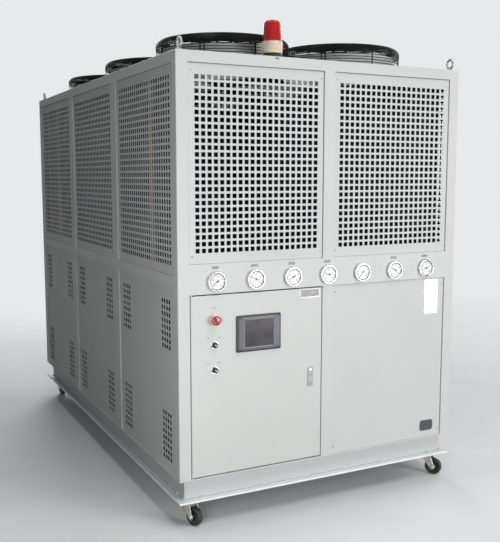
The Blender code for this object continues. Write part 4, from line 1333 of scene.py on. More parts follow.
@dataclass
class Panels:
    """Every panel of the cabinet, folded and punched with square holes, and the screws that hold them."""

    bend: float = 0.0015
    back: float = 0.016
    wall: float = 0.0012
    pitch: float = 0.0294
    hole: float = 0.0194
    end_holes: tuple[int, int] = (21, 26)
    side_holes: tuple[int, int] = (24, 28)
    vent_holes: tuple[int, int] = (4, 8)
    vent_edge: float = 0.056
    vent_bottoms: tuple[float, float] = (CAB_Z + 0.055, CAB_Z + 0.571)
    recess: float = 0.006
    screw_in: float = 0.013
    screw_end: float = 0.033

    def centred(self, low: float, high: float, count: int) -> Array:
        """Return a run of holes in the middle of a span."""
        length = (count - 1) * self.pitch + self.hole
        return runs((low + high - length) / 2, count, self.pitch, self.hole)

    def build(self) -> None:
        """Make the end panels, the side panels and their screws."""
        for side, word in ((Side.FRONT, "front"), (Side.BACK, "back")):
            for hand in HANDS:
                self.punch(f"{word}_upper_panel_{hand}", side, self.end_holes)
                if (side, hand) != (Side.FRONT, "left"):
                    self.punch(f"{word}_lower_panel_{hand}", side, (0, 0))
        for side, word in ((Side.LEFT, "left"), (Side.RIGHT, "right")):
            for row in ROWS:
                self.punch(f"{word}_upper_panel_{row}", side, self.side_holes)
                self.punch(f"{word}_lower_panel_{row}", side, None)
        self.build_shade_sheet()
        self.build_screws()

    def punch(self, node: str, side: Side, holes: tuple[int, int] | None) -> None:
        """Make one panel in place of its solid.

        Args:
            node: the solid.
            side: the face of the cabinet that it is in.
            holes: how many columns and rows of holes it has, or None for four groups of vents.
        """
        low, high = (np.array(corner) @ side.turn.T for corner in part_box(node))
        low, high = np.minimum(low, high), np.maximum(low, high)
        spans = [(low[0], high[0]), (low[1], high[1])]
        even = [self.centred(*span, count) for span, count in zip(spans, holes or ())]
        bands = even or self.vents(*spans[0])
        shell = folded_sheet(side, high[2], spans, bands, self.bend, self.back)
        make_piece(f"{node}_sheet", shell, PANEL, stands_for=[node], crease=0, wall=self.wall, lining=INSIDE_SHADE)

    def vents(self, low: float, high: float) -> list[Array]:
        """Return the columns and the rows of the four groups of small vents between two edges.

        Args:
            low: the panel's low edge.
            high: its high edge.

        Returns:
            The columns and the rows.
        """
        across, up = self.vent_holes
        width = (across - 1) * self.pitch + self.hole
        starts = (low + self.vent_edge, high - self.vent_edge - width)
        return [
            np.concatenate([runs(start, across, self.pitch, self.hole) for start in starts]),
            np.concatenate([runs(start, up, self.pitch, self.hole) for start in self.vent_bottoms]),
        ]

    def build_shade_sheet(self) -> None:
        """Stretch a thin near-black sheet over the inside of each back panel: painted shade behind its holes.

        The point is u*U + v*V + out*N on an even grid, so the sheet is flat.
        """
        shell = Shell()
        vs = np.linspace(END_RAIL[1] + 0.012, SKIRT_Z - 0.012, 20)[None]
        for start, end in END_BAYS:
            us = np.linspace(start + 0.012, end - 0.012, 16)[:, None]
            shell.grid(Side.BACK.lift(us, vs, HALF_L - self.recess - 0.014))
        make_piece("back_panel_shade_sheet", shell, BACK_SHADE_SHEET, wall=0.0008)

    def build_screws(self) -> None:
        """Set round head screws near the corners of each panel."""
        shell = Shell()
        head = screw_head(0.0046, 0.0022, 12)
        # The cross slot is a raised black bar: painted shade for the slot's recess.
        slot_bar = slab(round_box(0.0062, 0.0011, 0.0002, 1), 0.0018, 0.0027, 0.0001, 1)
        head.stamp(slot_bar).stamp(slot_bar, turn=np.array([(0, 1, 0), (-1, 0, 0), (0, 0, 1)]))
        for side in (Side.FRONT, Side.RIGHT, Side.BACK, Side.LEFT):
            ends = side in (Side.FRONT, Side.BACK)
            bays = END_BAYS if ends else SIDE_BAYS
            rail = END_RAIL if ends else SIDE_RAIL
            for number, (start, end) in enumerate(bays):
                for low, high in ((FOOT_Z, rail[0]), (rail[1], SKIRT_Z)):
                    if side is Side.FRONT and number == 0 and low == FOOT_Z:
                        continue
                    us = np.array([start + 0.002 + self.screw_in, end - 0.002 - self.screw_in])
                    vs = np.array([low + self.screw_end, high - self.screw_end])
                    grid = side.lift(us[:, None], vs[None], side.reach - self.recess)
                    shell.stamp(head, grid.reshape(-1, 3), side.turn)
        make_piece("panel_screws", shell, [SCREW, BLACK])


@dataclass
class FanGuard:
    """Basket guard of thin rings on eight bent stays, with the fan's motor hung in its middle."""

    outer: float = 0.3189
    wire: float = 0.0018
    thick: float = 0.0027
    thick_over: float = 0.074
    stay: float = 0.0029
    shoulder: float = 0.0255
    top: float = 0.1152
    foot: float = 0.0052
    hub: float = 0.074
    wall_pitch: float = 0.0125
    shoulder_pitch: float = 0.0062
    web_pitch: float = 0.0088
    stays: int = 8
    pair_deg: float = 3.4
    motor: float = 0.055
    motor_low: float = 0.072
    turn_deg: dict[str, float] = field(default_factory=lambda: {"left": 228.2, "right": 225.2})

    def course(self, inward: float, steps: int = 12) -> Array:
        """Return the guard's outline as radius and height: up, round the shoulder and in to the hub.

        The shoulder is (c + s cos a, z + s sin a), with s less by how far the course lies inside.

        Args:
            inward: how far inside the outline it runs.
            steps: points of the shoulder.

        Returns:
            Rows of radius and height.
        """
        arc = polar(self.shoulder - inward, np.linspace(0, math.pi / 2, steps))[:, :2]
        arc += (self.outer - self.shoulder, self.top - self.shoulder)
        return np.concatenate([[(arc[0, 0], self.foot)], arc, [(self.hub, arc[-1, 1])]])

    def rings(self) -> Shell:
        """Return the rings along the outline: wide apart on the wall, close on the shoulder.

        Returns:
            The rings.
        """
        line = self.course(0.0, 24)
        run = np.concatenate([[0], np.cumsum(np.linalg.norm(np.diff(line, axis=0), axis=1))])
        bend = run[1] - 0.012
        flat = run[-2] + 0.03
        web = np.linspace(flat, run[-1], int((run[-1] - flat) / self.web_pitch) + 1)
        wall = np.arange(0.0, bend, self.wall_pitch)
        marks = np.concatenate([wall, np.arange(bend, flat, self.shoulder_pitch), web])
        shell = Shell()
        for r, z in zip(np.interp(marks, run, line[:, 0]), np.interp(marks, run, line[:, 1])):
            wire = self.thick if z > self.thick_over and r > self.outer - 0.05 else self.wire
            shell.stamp(ring(r, z, wire, 84 if r > 0.15 else 48, 5))
        for inward_ring in (0.228, 0.156):
            shell.stamp(ring(inward_ring, self.top - 0.0062, 0.0022, 64, 6))
        return shell

    def frame_wires(self) -> Shell:
        """Return the stays: one pair and the singles, each the outline a wire's width further in.

        Returns:
            The stays, their feet and bolts.
        """
        line = self.course(self.wire + self.stay - 0.0007)
        shell = Shell()
        step = 360.0 / self.stays
        angles = [k * step for k in range(1, self.stays)] + [-self.pair_deg / 2, self.pair_deg / 2]
        path = np.column_stack([line[:, 0], np.zeros(len(line)), line[:, 1]])
        path = np.concatenate([[(path[0, 0], 0, 0.0008)], path])
        bar = tube(path, self.stay, (0, 1, 0), 8)
        for degrees in angles:
            shell.stamp(bar, turn=turned_z(degrees))
        pad = slab(round_box(0.013, 0.022, 0.003), 0.0, 0.0022, 0.0005)
        for degrees in [k * step for k in range(self.stays)]:
            spot = (self.outer - 0.0065) * direction(degrees)
            shell.stamp(pad, [spot], turned_z(degrees))
            shell.stamp(hex_head(0.008, 0.004), [spot + (0, 0, 0.0022)])
        return shell

    def motor_body(self) -> Shell:
        """Return the outer rotor motor: ribbed shell, spider plate and a domed cap with bolts.

        Returns:
            The motor.
        """
        top = self.top
        corners = [
            (0, self.motor_low, 0), (0.036, self.motor_low, 0.002), (0.036, self.motor_low + 0.004, 0.001),
            (self.motor, self.motor_low + 0.007, 0.004), (self.motor, top - 0.01, 0.002),
            (self.hub + 0.004, top - 0.009, 0.001), (self.hub + 0.004, top - 0.004, 0.0015),
            (0.05, top - 0.003, 0.003), (0.044, top + 0.0008, 0.002), (0, top + 0.0012, 0),
        ]
        shell = turned(corners, 48)
        rib = slab(round_box(0.006, 0.0026, 0.0008, 2), self.motor_low + 0.008, top - 0.012, 0.0006)
        for k in range(24):
            shell.stamp(rib, [(self.motor - 0.0005) * direction(k * 15.0)], turned_z(k * 15.0))
        for k in range(4):
            shell.stamp(hex_head(0.01, 0.0025), [0.062 * direction(45 + k * 90.0) + (0, 0, top - 0.0034)])
        shaft = lathe([(0, 0.034), (0.0125, 0.034), (0.0125, self.motor_low + 0.002)], 24)
        return shell.stamp(shaft)

    def build(self) -> None:
        """Make one guard and stand it over each fan."""
        model = self.rings().stamp(self.frame_wires()).stamp(self.motor_body())
        for name, hand, spot in fans():
            shell = Shell().stamp(model, [spot + np.array([0, 0, SEAT])], turned_z(self.turn_deg[hand]))
            make_piece(f"fan_guard_{name}_basket", shell, WIRE, stands_for=[f"fan_guard_{name}"],
                       crease=50.0)


def turned_z(degrees: float) -> Array:
    """Return the turn about z for row vectors."""
    a = math.radians(degrees)
    return np.array([(math.cos(a), math.sin(a), 0), (-math.sin(a), math.cos(a), 0), (0, 0, 1)])


def direction(degrees: float) -> Array:
    """Return the level unit vector at an angle."""
    return polar(1.0, math.radians(degrees))


@dataclass
class FanRotor:
    """Axial rotor: five swept, twisted and cambered blades on a round hub."""

    hub: float = 0.08
    tip: float = 0.273
    blades: int = 5
    low: float = -0.008
    high: float = 0.062
    bore: float = 0.0148
    blade_wall: float = 0.0032
    turn_deg: dict[str, float] = field(default_factory=lambda: {"left": 11.0, "right": 47.0})

    def blade(self) -> Array:
        """Return one blade's surface.

        At s from root to tip and t across the chord, the angle is 22 s^1.6 + (t - 1/2) (62 - 16 s)
        degrees, and the height is the arc length times the tangent of a pitch that falls from
        30 to 15 degrees, plus a camber of 4 c t (1 - t).

        Returns:
            Points, shape (15, 15, 3).
        """
        s = np.linspace(0, 1, 15)[:, None]
        t = np.linspace(0, 1, 15)[None]
        r = self.hub - 0.008 + s * (self.tip - self.hub + 0.008)
        span = np.radians(62 - 16 * s)
        angle = np.radians(22) * s**1.6 + (t - 0.5) * span
        pitch = np.radians(30 - 15 * s)
        z = (self.low + self.high) / 2 + (t - 0.5) * span * r * np.tan(pitch) + 0.02 * s * t * (1 - t)
        return polar(r, angle, z)

    def build(self) -> None:
        """Make the rotor and put a copy on each fan's axis, riding on that fan's body."""
        sheet = Shell().grid(self.blade(), flip=True)
        blades = Shell()
        for k in range(self.blades):
            blades.stamp(sheet, turn=turned_z(360 * k / self.blades))
        floor, brim = self.high - 0.03, self.high - 0.004
        corners = [
            (self.bore, floor, 0), (self.hub - 0.012, floor, 0), (self.hub - 0.012, self.low, 0),
            (self.hub, self.low, 0.001), (self.hub, brim, 0.004), (self.hub * 0.7, self.high, 0.01),
            (0.03, brim, 0.004), (self.bore, brim, 0), (self.bore, floor, 0),
        ]
        body = turned(corners, 64)
        for k in range(6):
            body.stamp(hex_head(0.009, 0.004), [0.022 * direction(k * 60.0) + (0, 0, self.high - 0.0042)], slot=1)
        for name, hand, spot in fans():
            node, turn = f"fan_rotor_{name}", turned_z(self.turn_deg[hand])
            make_piece(f"{node}_hub", Shell().stamp(body, [spot], turn), [BLACK, STEEL], node, [node])
            make_piece(f"{node}_blades", Shell().stamp(blades, [spot], turn), BLACK, node,
                       wall=self.blade_wall)


@dataclass
class GaugeRow:
    """Seven round pressure gauges on the rail, with a small plain plate over most of them."""

    pitch: float = 0.191
    height: float = CAB_Z + 0.883
    radius: float = 0.045
    proud: float = 0.016
    plate_z: float = CAB_Z + 0.944
    plate_size: tuple[float, float] = (0.035, 0.013)
    needles_deg: tuple[float, ...] = (212.0, 158.0, 205.0, 168.0, 226.0, 150.0, 196.0)
    plated: tuple[int, ...] = (0, 1, 2, 3, 5, 6)

    def case(self) -> Shell:
        """Return the case: rolled chrome bezel, darker inner step and the dial's floor.

        Returns:
            The case, its back on z = 0.
        """
        r, top, floor = self.radius, self.proud, self.proud - 0.0046
        out = [(0, 0, 0), (r - 0.001, 0.0, 0), (r, 0.004, 0.001), (r, 0.011, 0.003), (r - 0.003, top, 0.002),
               (r - 0.006, top - 0.0006, 0.001), (r - 0.0068, top - 0.0028, 0.0005)]
        gap = [(r - 0.0068, top - 0.0028), (r - 0.0074, floor), (r - 0.01, floor)]
        step = [(r - 0.01, floor), (r - 0.0103, top - 0.0034), (r - 0.0116, top - 0.0038), (r - 0.0118, floor)]
        face = [(r - 0.0118, floor), (0, floor)]
        shell = turned(out, 56, steps=4)
        for slot, rows in ((1, gap), (3, step), (2, face)):
            shell.stamp(lathe(rows, 56, slot))
        return shell

    def scale(self) -> Shell:
        """Return the ticks and plain numbers of one dial, over 270 degrees.

        Returns:
            The scale.
        """
        shell = Shell()
        lift = self.proud - 0.0045
        edge = self.radius - 0.0128
        for k in range(41):
            long = k % 5 == 0
            length, width = (0.0058, 0.0013) if long else (0.0036, 0.0008)
            bar = slab(round_box(length, width, 0.0001, 1), lift, lift + 0.0001, 0.00002)
            angle = 225 - 270 * k / 40
            shell.stamp(bar, [(edge - length / 2) * direction(angle)], turned_z(angle))
        for k in range(5):
            angle = 225 - 270 * k / 4
            word = lettering(str(10 * k), 0.008, lift + 0.0001)
            shell.stamp(word, [(edge - 0.01) * direction(angle)])
        band = np.radians(np.linspace(0, -45, 10))[:, None]
        return shell.grid(polar(np.array([[edge + 0.0006, edge - 0.0008]]), band, lift), slot=1)

    def build(self) -> None:
        """Make the cases, dials, needles, panes and plates."""
        xs = (np.arange(7) - 3) * self.pitch
        spots = Side.FRONT.lift(xs, self.height, HALF_L - 0.0005)
        turn = Side.FRONT.turn
        make_piece("gauge_cases", Shell().stamp(self.case(), spots, turn), [CHROME, BLACK, DIAL, SILVER])
        make_piece("gauge_scales", Shell().stamp(self.scale(), spots, turn), [INK, RED], crease=0)
        needle = slab(np.array([(-0.011, -0.002), (0.026, -0.0005), (0.026, 0.0005), (-0.011, 0.002)]),
                      self.proud - 0.004, self.proud - 0.0034, 0.0001)
        needle.stamp(screw_head(0.0046, 0.0012, 16), [(0, 0, self.proud - 0.004)])
        shell = Shell()
        for spot, degrees in zip(spots, self.needles_deg):
            shell.stamp(needle, [spot], turned_z(degrees) @ turn)
        make_piece("gauge_needles", shell, INK)
        disc = lathe([(self.radius - 0.007, self.proud - 0.0026), (0, self.proud - 0.002)], 56)
        make_piece("gauge_panes", Shell().stamp(disc, spots, turn), PANE)
        plate = slab(round_box(*self.plate_size, 0.001), 0.0, 0.0009, 0.0003)
        row = round_box(self.plate_size[0] - 0.01, 0.0022, 0.0003, 1)
        for offset in (-0.002, 0.0022):
            plate.stamp(slab(row, 0.0009, 0.001, 0.00005), [(0, offset, 0)], slot=1)
        places = Side.FRONT.lift(xs[list(self.plated)] - 0.005, self.plate_z, HALF_L)
        make_piece("gauge_plates", Shell().stamp(plate, places, turn), [TAG, SOFT_INK])


@dataclass
class ControlDoor:
    """Hinged door of folded sheet, with its latch, nameplate and everything it carries."""

    bend: float = 0.0018
    wall: float = 0.0015
    back: float = 0.0195
    control_x: float = -0.583
    stop_z: float = CAB_Z + 0.713
    switches_z: tuple[float, float] = (CAB_Z + 0.601, CAB_Z + 0.489)
    bores: tuple[float, ...] = (0.01, 0.0085, 0.0085)
    pointer_deg: float = 57.0

    def build(self) -> None:
        """Make the leaf and each thing on it."""
        self.build_leaf()
        self.build_latch()
        self.build_nameplate()
        self.build_screen()
        self.build_stop()
        self.build_switches()
        self.build_print()

    def build_leaf(self) -> None:
        """Fold the leaf, with a round hole for each stem, and add its pivots and a back stiffener."""
        low, high = (-0.6945, CAB_Z + 0.0115), (-0.0335, CAB_Z + 0.8235)
        half = 0.034
        centres = (self.stop_z, *self.switches_z)
        x0, x1 = self.control_x - half, self.control_x + half
        holes = [np.array([(x0, x1)]), np.array([(z - half, z + half) for z in sorted(centres)])]
        spans = list(zip(low, high))
        shell = folded_sheet(Side.FRONT, HALF_L, spans, holes, self.bend, self.back)
        for z, bore in zip(centres, self.bores):
            cell = holed_cell((self.control_x, z), bore, (x0, z - half), (x1, z + half), 40, 2)
            shell.grid(Side.FRONT.lift(cell[..., 0], cell[..., 1], HALF_L), wrap_u=True, flip=True)
        make_piece("control_door_leaf", shell, CABINET, "control_door", ["control_door"], wall=self.wall)
        pin = drum(0.0028, -0.0075, 0.0075, 20)
        ribs = Shell().stamp(pin, [(-0.6915, -HALF_L + 0.0032, CAB_Z + z) for z in (0.014, 0.821)])
        hat = eased([(-0.03, 0, 0), (-0.016, 0, 0.001), (-0.014, 0.012, 0.001), (0.014, 0.012, 0.001),
                     (0.016, 0, 0.001), (0.03, 0, 0), (0.03, -0.0012, 0), (-0.03, -0.0012, 0)], steps=2)
        bar = loft([(hat, CAB_Z + 0.055), (hat, CAB_Z + 0.785)])
        ribs.stamp(bar, [(-0.16, -HALF_L + 0.0032, 0.0)])
        make_piece("control_door_back_rib", ribs, CABINET, "control_door")

    def build_latch(self) -> None:
        """Make the narrow swing latch: plate, sunk handle, round key button and slots."""
        plate = slab(round_box(0.031, 0.093, 0.004), 0.0, 0.003, 0.001)
        plate.stamp(slab(round_box(0.019, 0.05, 0.003), 0.0, 0.0042, 0.0012), [(0, -0.012, 0)])
        button = turned([(0, 0, 0), (0.0082, 0.0, 0), (0.0082, 0.0052, 0.0012), (0, 0.006, 0)], 28, 1)
        plate.stamp(button, [(0, 0.03, 0)])
        # The key slot and the two slots are thin black bars: painted shade for their openings.
        plate.stamp(slab(round_box(0.0062, 0.0014, 0.0003, 1), 0.0058, 0.0062, 0.0001), [(0, 0.03, 0)], slot=2)
        for y in (0.008, -0.032):
            plate.stamp(slab(round_box(0.012, 0.003, 0.0012, 2), 0.004, 0.0044, 0.0001), [(0, y, 0)], slot=2)
        shell = Side.FRONT.stand(plate, -0.0925, CAB_Z + 0.4045, HALF_L)
        make_piece("door_latch", shell, [TRIM, CHROME, BLACK], "control_door")

    def build_nameplate(self) -> None:
        """Make the bare black nameplate with its satin edge."""
        outer = round_box(0.105, 0.039, 0.002)
        inner = round_box(0.099, 0.033, 0.0012)
        shell = loft(
            [(outer, 0.0), (outer, 0.0009), (inset(outer, 0.0006), 0.0015), (inset(outer, 0.0024), 0.0015),
             (inner, 0.0011), (inset(inner, 0.0006), 0.0011)],
            [0, 0, 0, 0, 1], front_slot=1,
        )
        shell = Side.FRONT.stand(shell, -0.0995, CAB_Z + 0.8005, HALF_L)
        make_piece("bare_nameplate", shell, [SILVER, NAMEPLATE], "control_door")

    def build_screen(self) -> None:
        """Make the touch screen: chamfered bezel, thin edge line and the sunk display."""
        outer = round_box(0.222, 0.166, 0.005)
        window = round_box(0.151, 0.127, 0.002)
        glass = round_box(0.143, 0.119, 0.0015)
        step = inset(outer, 0.006)
        shell = loft(
            [(outer, 0.0), (outer, 0.006), (inset(outer, 0.001), 0.0078), (inset(outer, 0.0052), 0.01),
             (step, 0.0104), (inset(outer, 0.0085), 0.012), (window, 0.012), (inset(window, 0.0016), 0.0116),
             (glass, 0.0096), (inset(glass, 0.0006), 0.0096)],
            [0, 0, 0, 0, 0, 4, 1, 0, 2], front_slot=2,
        )
        body = Side.FRONT.stand(shell, -0.367, CAB_Z + 0.64, HALF_L + SEAT)
        lamp = slab(round_box(0.015, 0.0045, 0.0014, 2), 0.012, 0.0123, 0.0001, 3)
        body.stamp(Side.FRONT.stand(lamp, -0.367, CAB_Z + 0.5665, HALF_L))
        make_piece("touch_screen_unit", body, [BEZEL, EDGE_LINE, DISPLAY, GREY_INK, BEZEL_FACE], "control_door",
                   ["touch_screen"])

    def build_stop(self) -> None:
        """Make the mushroom button on its body, and its cream ring on the door."""
        head = turned([(0, -0.014, 0), (0.0092, -0.014, 0), (0.0092, 0.0185, 0), (0.0185, 0.0185, 0.001),
                       (0.0208, 0.0205, 0.0014), (0.021, 0.0255, 0.004), (0.015, 0.0305, 0.006),
                       (0.0, 0.032, 0)], 48, steps=5)
        chevron = slab(eased([(-0.004, -0.0014, 0), (0, 0.0012, 0), (0.004, -0.0014, 0), (0.004, 0.0006, 0),
                              (0.0, 0.0032, 0), (-0.004, 0.0006, 0)]), 0.0296, 0.0308, 0.0001, 1)
        mark = Shell().stamp(chevron, [(0, 0.0118, 0)])
        for k in range(3):
            head.stamp(mark, turn=turned_z(k * 120.0))
        collar = turned([(0.0106, -0.001, 0), (0.0275, -0.001, 0), (0.028, 0.003, 0.002), (0.024, 0.0058, 0.002),
                         (0.0125, 0.006, 0.001), (0.0106, 0.0045, 0), (0.0106, -0.001, 0)], 48)
        spot = (self.control_x, self.stop_z, HALF_L)
        make_piece("emergency_stop_button", Side.FRONT.stand(head, *spot), [RED, POINTER], "emergency_stop",
                   ["emergency_stop"])
        make_piece("stop_button_ring", Side.FRONT.stand(collar, *spot), COLLAR_RING, "control_door")

    def build_switches(self) -> None:
        """Make each selector: black knob with a pale pointer, and a chrome ring on the door."""
        rings = Shell()
        collar = turned([(0.0088, -0.001, 0), (0.0176, -0.001, 0), (0.0176, 0.0022, 0.001), (0.0164, 0.0036, 0.001),
                         (0.015, 0.0034, 0.0005), (0.0088, 0.0004, 0), (0.0088, -0.001, 0)], 48)
        knob = turned([(0, -0.014, 0), (0.0078, -0.014, 0), (0.0078, 0.0012, 0), (0.0112, 0.0012, 0),
                       (0.0114, 0.006, 0.001), (0.0106, 0.0108, 0.002), (0, 0.0112, 0)], 40)
        knob.stamp(slab(round_box(0.0068, 0.0208, 0.0032), 0.0106, 0.0196, 0.0016))
        knob.stamp(slab(round_box(0.003, 0.018, 0.0008, 2), 0.0192, 0.02, 0.0001, 1))
        for word, z in zip(("upper", "lower"), self.switches_z):
            node = f"selector_switch_{word}"
            shell = Side.FRONT.stand(knob, self.control_x, z, HALF_L, turned_z(self.pointer_deg))
            make_piece(f"{node}_knob", shell, [BLACK, POINTER], node, [node])
            rings.stamp(Side.FRONT.stand(collar, self.control_x, z, HALF_L))
        make_piece("selector_rings", rings, CHROME, "control_door")

    def build_print(self) -> None:
        """Print plain words over the button and beside the switches."""
        words = [("STOP", 0.0095, 0.0, self.stop_z + 0.053)]
        for z in self.switches_z:
            words += [("OFF", 0.009, -0.033, z + 0.033), ("ON", 0.009, 0.02, z + 0.033)]
        shell = Shell()
        for word, size, shift, z in words:
            shell.stamp(Side.FRONT.stand(lettering(word, size), self.control_x + shift, z, HALF_L + 0.0001))
        make_piece("switch_words", shell, SOFT_INK, "control_door", crease=0)


@dataclass
class FrontPlates:
    """Small things on the cabinet's front: data plate, dark plate and a tab on the top rail."""

    def build(self) -> None:
        """Make the data plate with its ruled lines and rivets, the dark plate and the tab."""
        out = HALF_L - 0.006
        plate = slab(round_box(0.086, 0.176, 0.003), 0.0, 0.001, 0.0004)
        bars = [(0.07, 0.001, (0, 0.066 - 0.0128 * k, 0)) for k in range(11)]
        for width, height, spot in [*bars, (0.001, 0.128, (-0.008, 0.002, 0))]:
            plate.stamp(slab(round_box(width, height, 0.0002, 1), 0.001, 0.00112, 0.00005, 1), [spot])
        rivets = [spot + (0, 0, 0.001) for spot in quarters(0.037, 0.082).values()]
        plate.stamp(screw_head(0.0022, 0.0012, 10), rivets, slot=2)
        shell = Side.FRONT.stand(plate, 0.62, CAB_Z + 0.735, out)
        make_piece("data_plate", shell, [SILVER, SOFT_INK, SCREW])
        dark = slab(round_box(0.087, 0.059, 0.016, 6), 0.0, 0.0009, 0.0003)
        dark.stamp(slab(round_box(0.081, 0.053, 0.013, 6), 0.0009, 0.0012, 0.0001, 1))
        shell = Side.FRONT.stand(dark, 0.6105, CAB_Z + 0.0645, out)
        make_piece("dark_blank_plate", shell, [GREY_INK, DARK_PLATE])
        tab = slab(round_box(0.02, 0.008, 0.002), 0.0, 0.0009, 0.0003)
        make_piece("top_rail_tab", Side.FRONT.stand(tab, -0.275, CAB_Z + 1.851, HALF_L), SOFT_INK)


@dataclass
class Beacon:
    """Warning light: ribbed red lens on a cream base with a black foot."""

    x: float = -0.268
    y: float = -1.228
    ribs: int = 40

    def build(self) -> None:
        """Turn the base and the lens; the lens's radius is r (1 + 0.012 cos(n a))."""
        spot = [(self.x, self.y, ROOF_Z + SEAT)]
        base = turned([(0, 0.0186, 0), (0.0455, 0.0186, 0.001), (0.047, 0.0215, 0.0015), (0.047, 0.061, 0.002),
                       (0.0458, 0.0625, 0.0005), (0.0458, 0.0645, 0.0005), (0.047, 0.066, 0.001),
                       (0.047, 0.0698, 0.001), (0, 0.07, 0)], 72)
        base.stamp(turned([(0, 0, 0), (0.04, 0.0, 0.001), (0.04, 0.012, 0.002), (0.037, 0.0186, 0.001),
                           (0.0, 0.0188, 0)], 64, 1))
        make_piece("beacon_base", Shell().stamp(base, spot), [CREAM, BLACK], stands_for=["beacon"])
        profile = eased([(0.044, 0.07, 0), (0.0438, 0.073, 0.0005), (0.043, 0.0736, 0.0005),
                         (0.037, 0.152, 0.004), (0.029, 0.1605, 0.004), (0.01, 0.1618, 0.003), (0, 0.162, 0)],
                        closed=False, steps=5)
        angle = TAU * np.arange(240)[:, None] / 240
        r, z = profile[:, 0][None], profile[:, 1][None]
        swell = np.clip((z - 0.075) / 0.004, 0, 1) * np.clip((0.15 - z) / 0.004, 0, 1)
        wave = r * (1 + 0.012 * swell * np.cos(self.ribs * angle))
        lens = Shell().grid(polar(wave, angle, z), wrap_u=True)
        for height in (0.092, 0.112, 0.132):
            lens.stamp(ring(0.043 - (height - 0.0736) * 0.0765, height, 0.001, 96, 6))
        make_piece("beacon_lens", Shell().stamp(lens, spot), LENS, crease=50.0)


@dataclass
class LiftingEyes:
    """Four shouldered eye bolts on the roof's corners."""

    inset: float = 0.032
    radius: float = 0.021
    wire: float = 0.0058

    def build(self) -> None:
        """Make each eye from a ring and a turned shoulder."""
        model = turned([(0, 0, 0), (0.013, 0.0, 0.001), (0.013, 0.006, 0.002), (0.0085, 0.0085, 0.002),
                        (0.007, 0.012, 0.001), (0, 0.013, 0)], 36)
        eye = ring(self.radius, 0.0, self.wire, 48, 14)
        model.stamp(eye, [(0, 0, 0.01 + self.radius)], ALONG_X)
        for corner, spot in quarters(HALF_W - self.inset, HALF_L - self.inset).items():
            node = f"lifting_eye_{corner}"
            shell = Shell().stamp(model, [spot + (0, 0, ROOF_Z + SEAT)])
            make_piece(f"{node}_bolt", shell, EYE, stands_for=[node], crease=45.0)


@dataclass
class BaseFrame:
    """Foot channel with mitred corners, cross beams, caster pads and their bolts."""

    low: float = LOW_Z
    flange_low: float = 0.01
    flange_top: float = 0.006
    reach: float = 0.09
    web: tuple[float, float] = (0.035, 0.041)
    beam_y: float = 0.45
    beam_width: float = 0.06
    caster: tuple[float, float] = (0.681, 1.216)

    def build(self) -> None:
        """Carry the section round the foot; a point is (X - d, Y - d, z) at each mitred corner."""
        top = FOOT_Z - 0.0003
        a, b = self.web
        foot = self.low + self.flange_low
        head = top - self.flange_top
        section = eased(
            [
                (0.0, self.low, 0.0015), (self.reach, self.low, 0.001), (self.reach, foot, 0.002), (b, foot, 0.006),
                (b, head, 0.006), (self.reach, head, 0.001), (self.reach, top, 0.001), (0, top, 0.0015),
                (0.0, head, 0.001), (a, head, 0.006), (a, foot, 0.006), (0, foot, 0.0035),
            ],
            steps=3,
        )
        corners = np.array([(-1, -1), (1, -1), (1, 1), (-1, 1)], float)
        half = np.array([HALF_W, HALF_L])
        flat = corners[:, None] * (half - section[None, :, :1])
        points = np.concatenate([flat, np.broadcast_to(section[None, :, 1:], (4, len(section), 1))], -1)
        raised, lowered = section[:, 1] > head - 0.0004, section[:, 1] < foot + 0.0004
        upper, lower = (np.tile(part & np.roll(part, -1), (4, 1)) for part in (raised, lowered))
        shell = Shell()
        # Slot 3, the web and the beams, takes the darker copy of the base paint: painted shade under the top
        # flange.
        for slot, keep in ((0, lower), (2, upper), (3, ~(upper | lower))):
            shell.grid(points, wrap_u=True, wrap_v=True, flip=True, keep=keep, slot=slot)
        beam = round_box(self.beam_width, top - self.low - 0.0008, 0.004)
        rings = [(beam, -HALF_W + b - 0.002), (beam, HALF_W - b + 0.002)]
        beams = [(0, y, (top + self.low) / 2) for y in (-self.beam_y, self.beam_y)]
        shell.stamp(loft(rings), beams, ALONG_X, slot=3)
        pad = slab(round_box(0.1, 0.1, 0.006), 0.0, 0.0058, 0.001)
        corner = Shell().stamp(pad, [(0, 0, self.low + 0.0002)], Side.UNDER.turn)
        bolt = Shell().stamp(hex_head(0.013, 0.006), [(0, 0, self.low - 0.0056)], Side.UNDER.turn)
        thread = lathe([(0, 0), (0.0036, 0.0), (0.0036, 0.01), (0, 0.0104)], 12)
        for part in (hex_head(0.013, 0.007), drum(0.008, 0.0, 0.0012, 16), thread):
            bolt.stamp(part, [(0, 0, foot)])
        corner.stamp(bolt, list(quarters(0.038, 0.038).values()), slot=1)
        shell.stamp(corner, list(quarters(*self.caster).values()))
        make_piece("base_channel", shell, [BASE, SCREW, CABINET, BASE_WEB_SHADE], stands_for=["base_frame"])


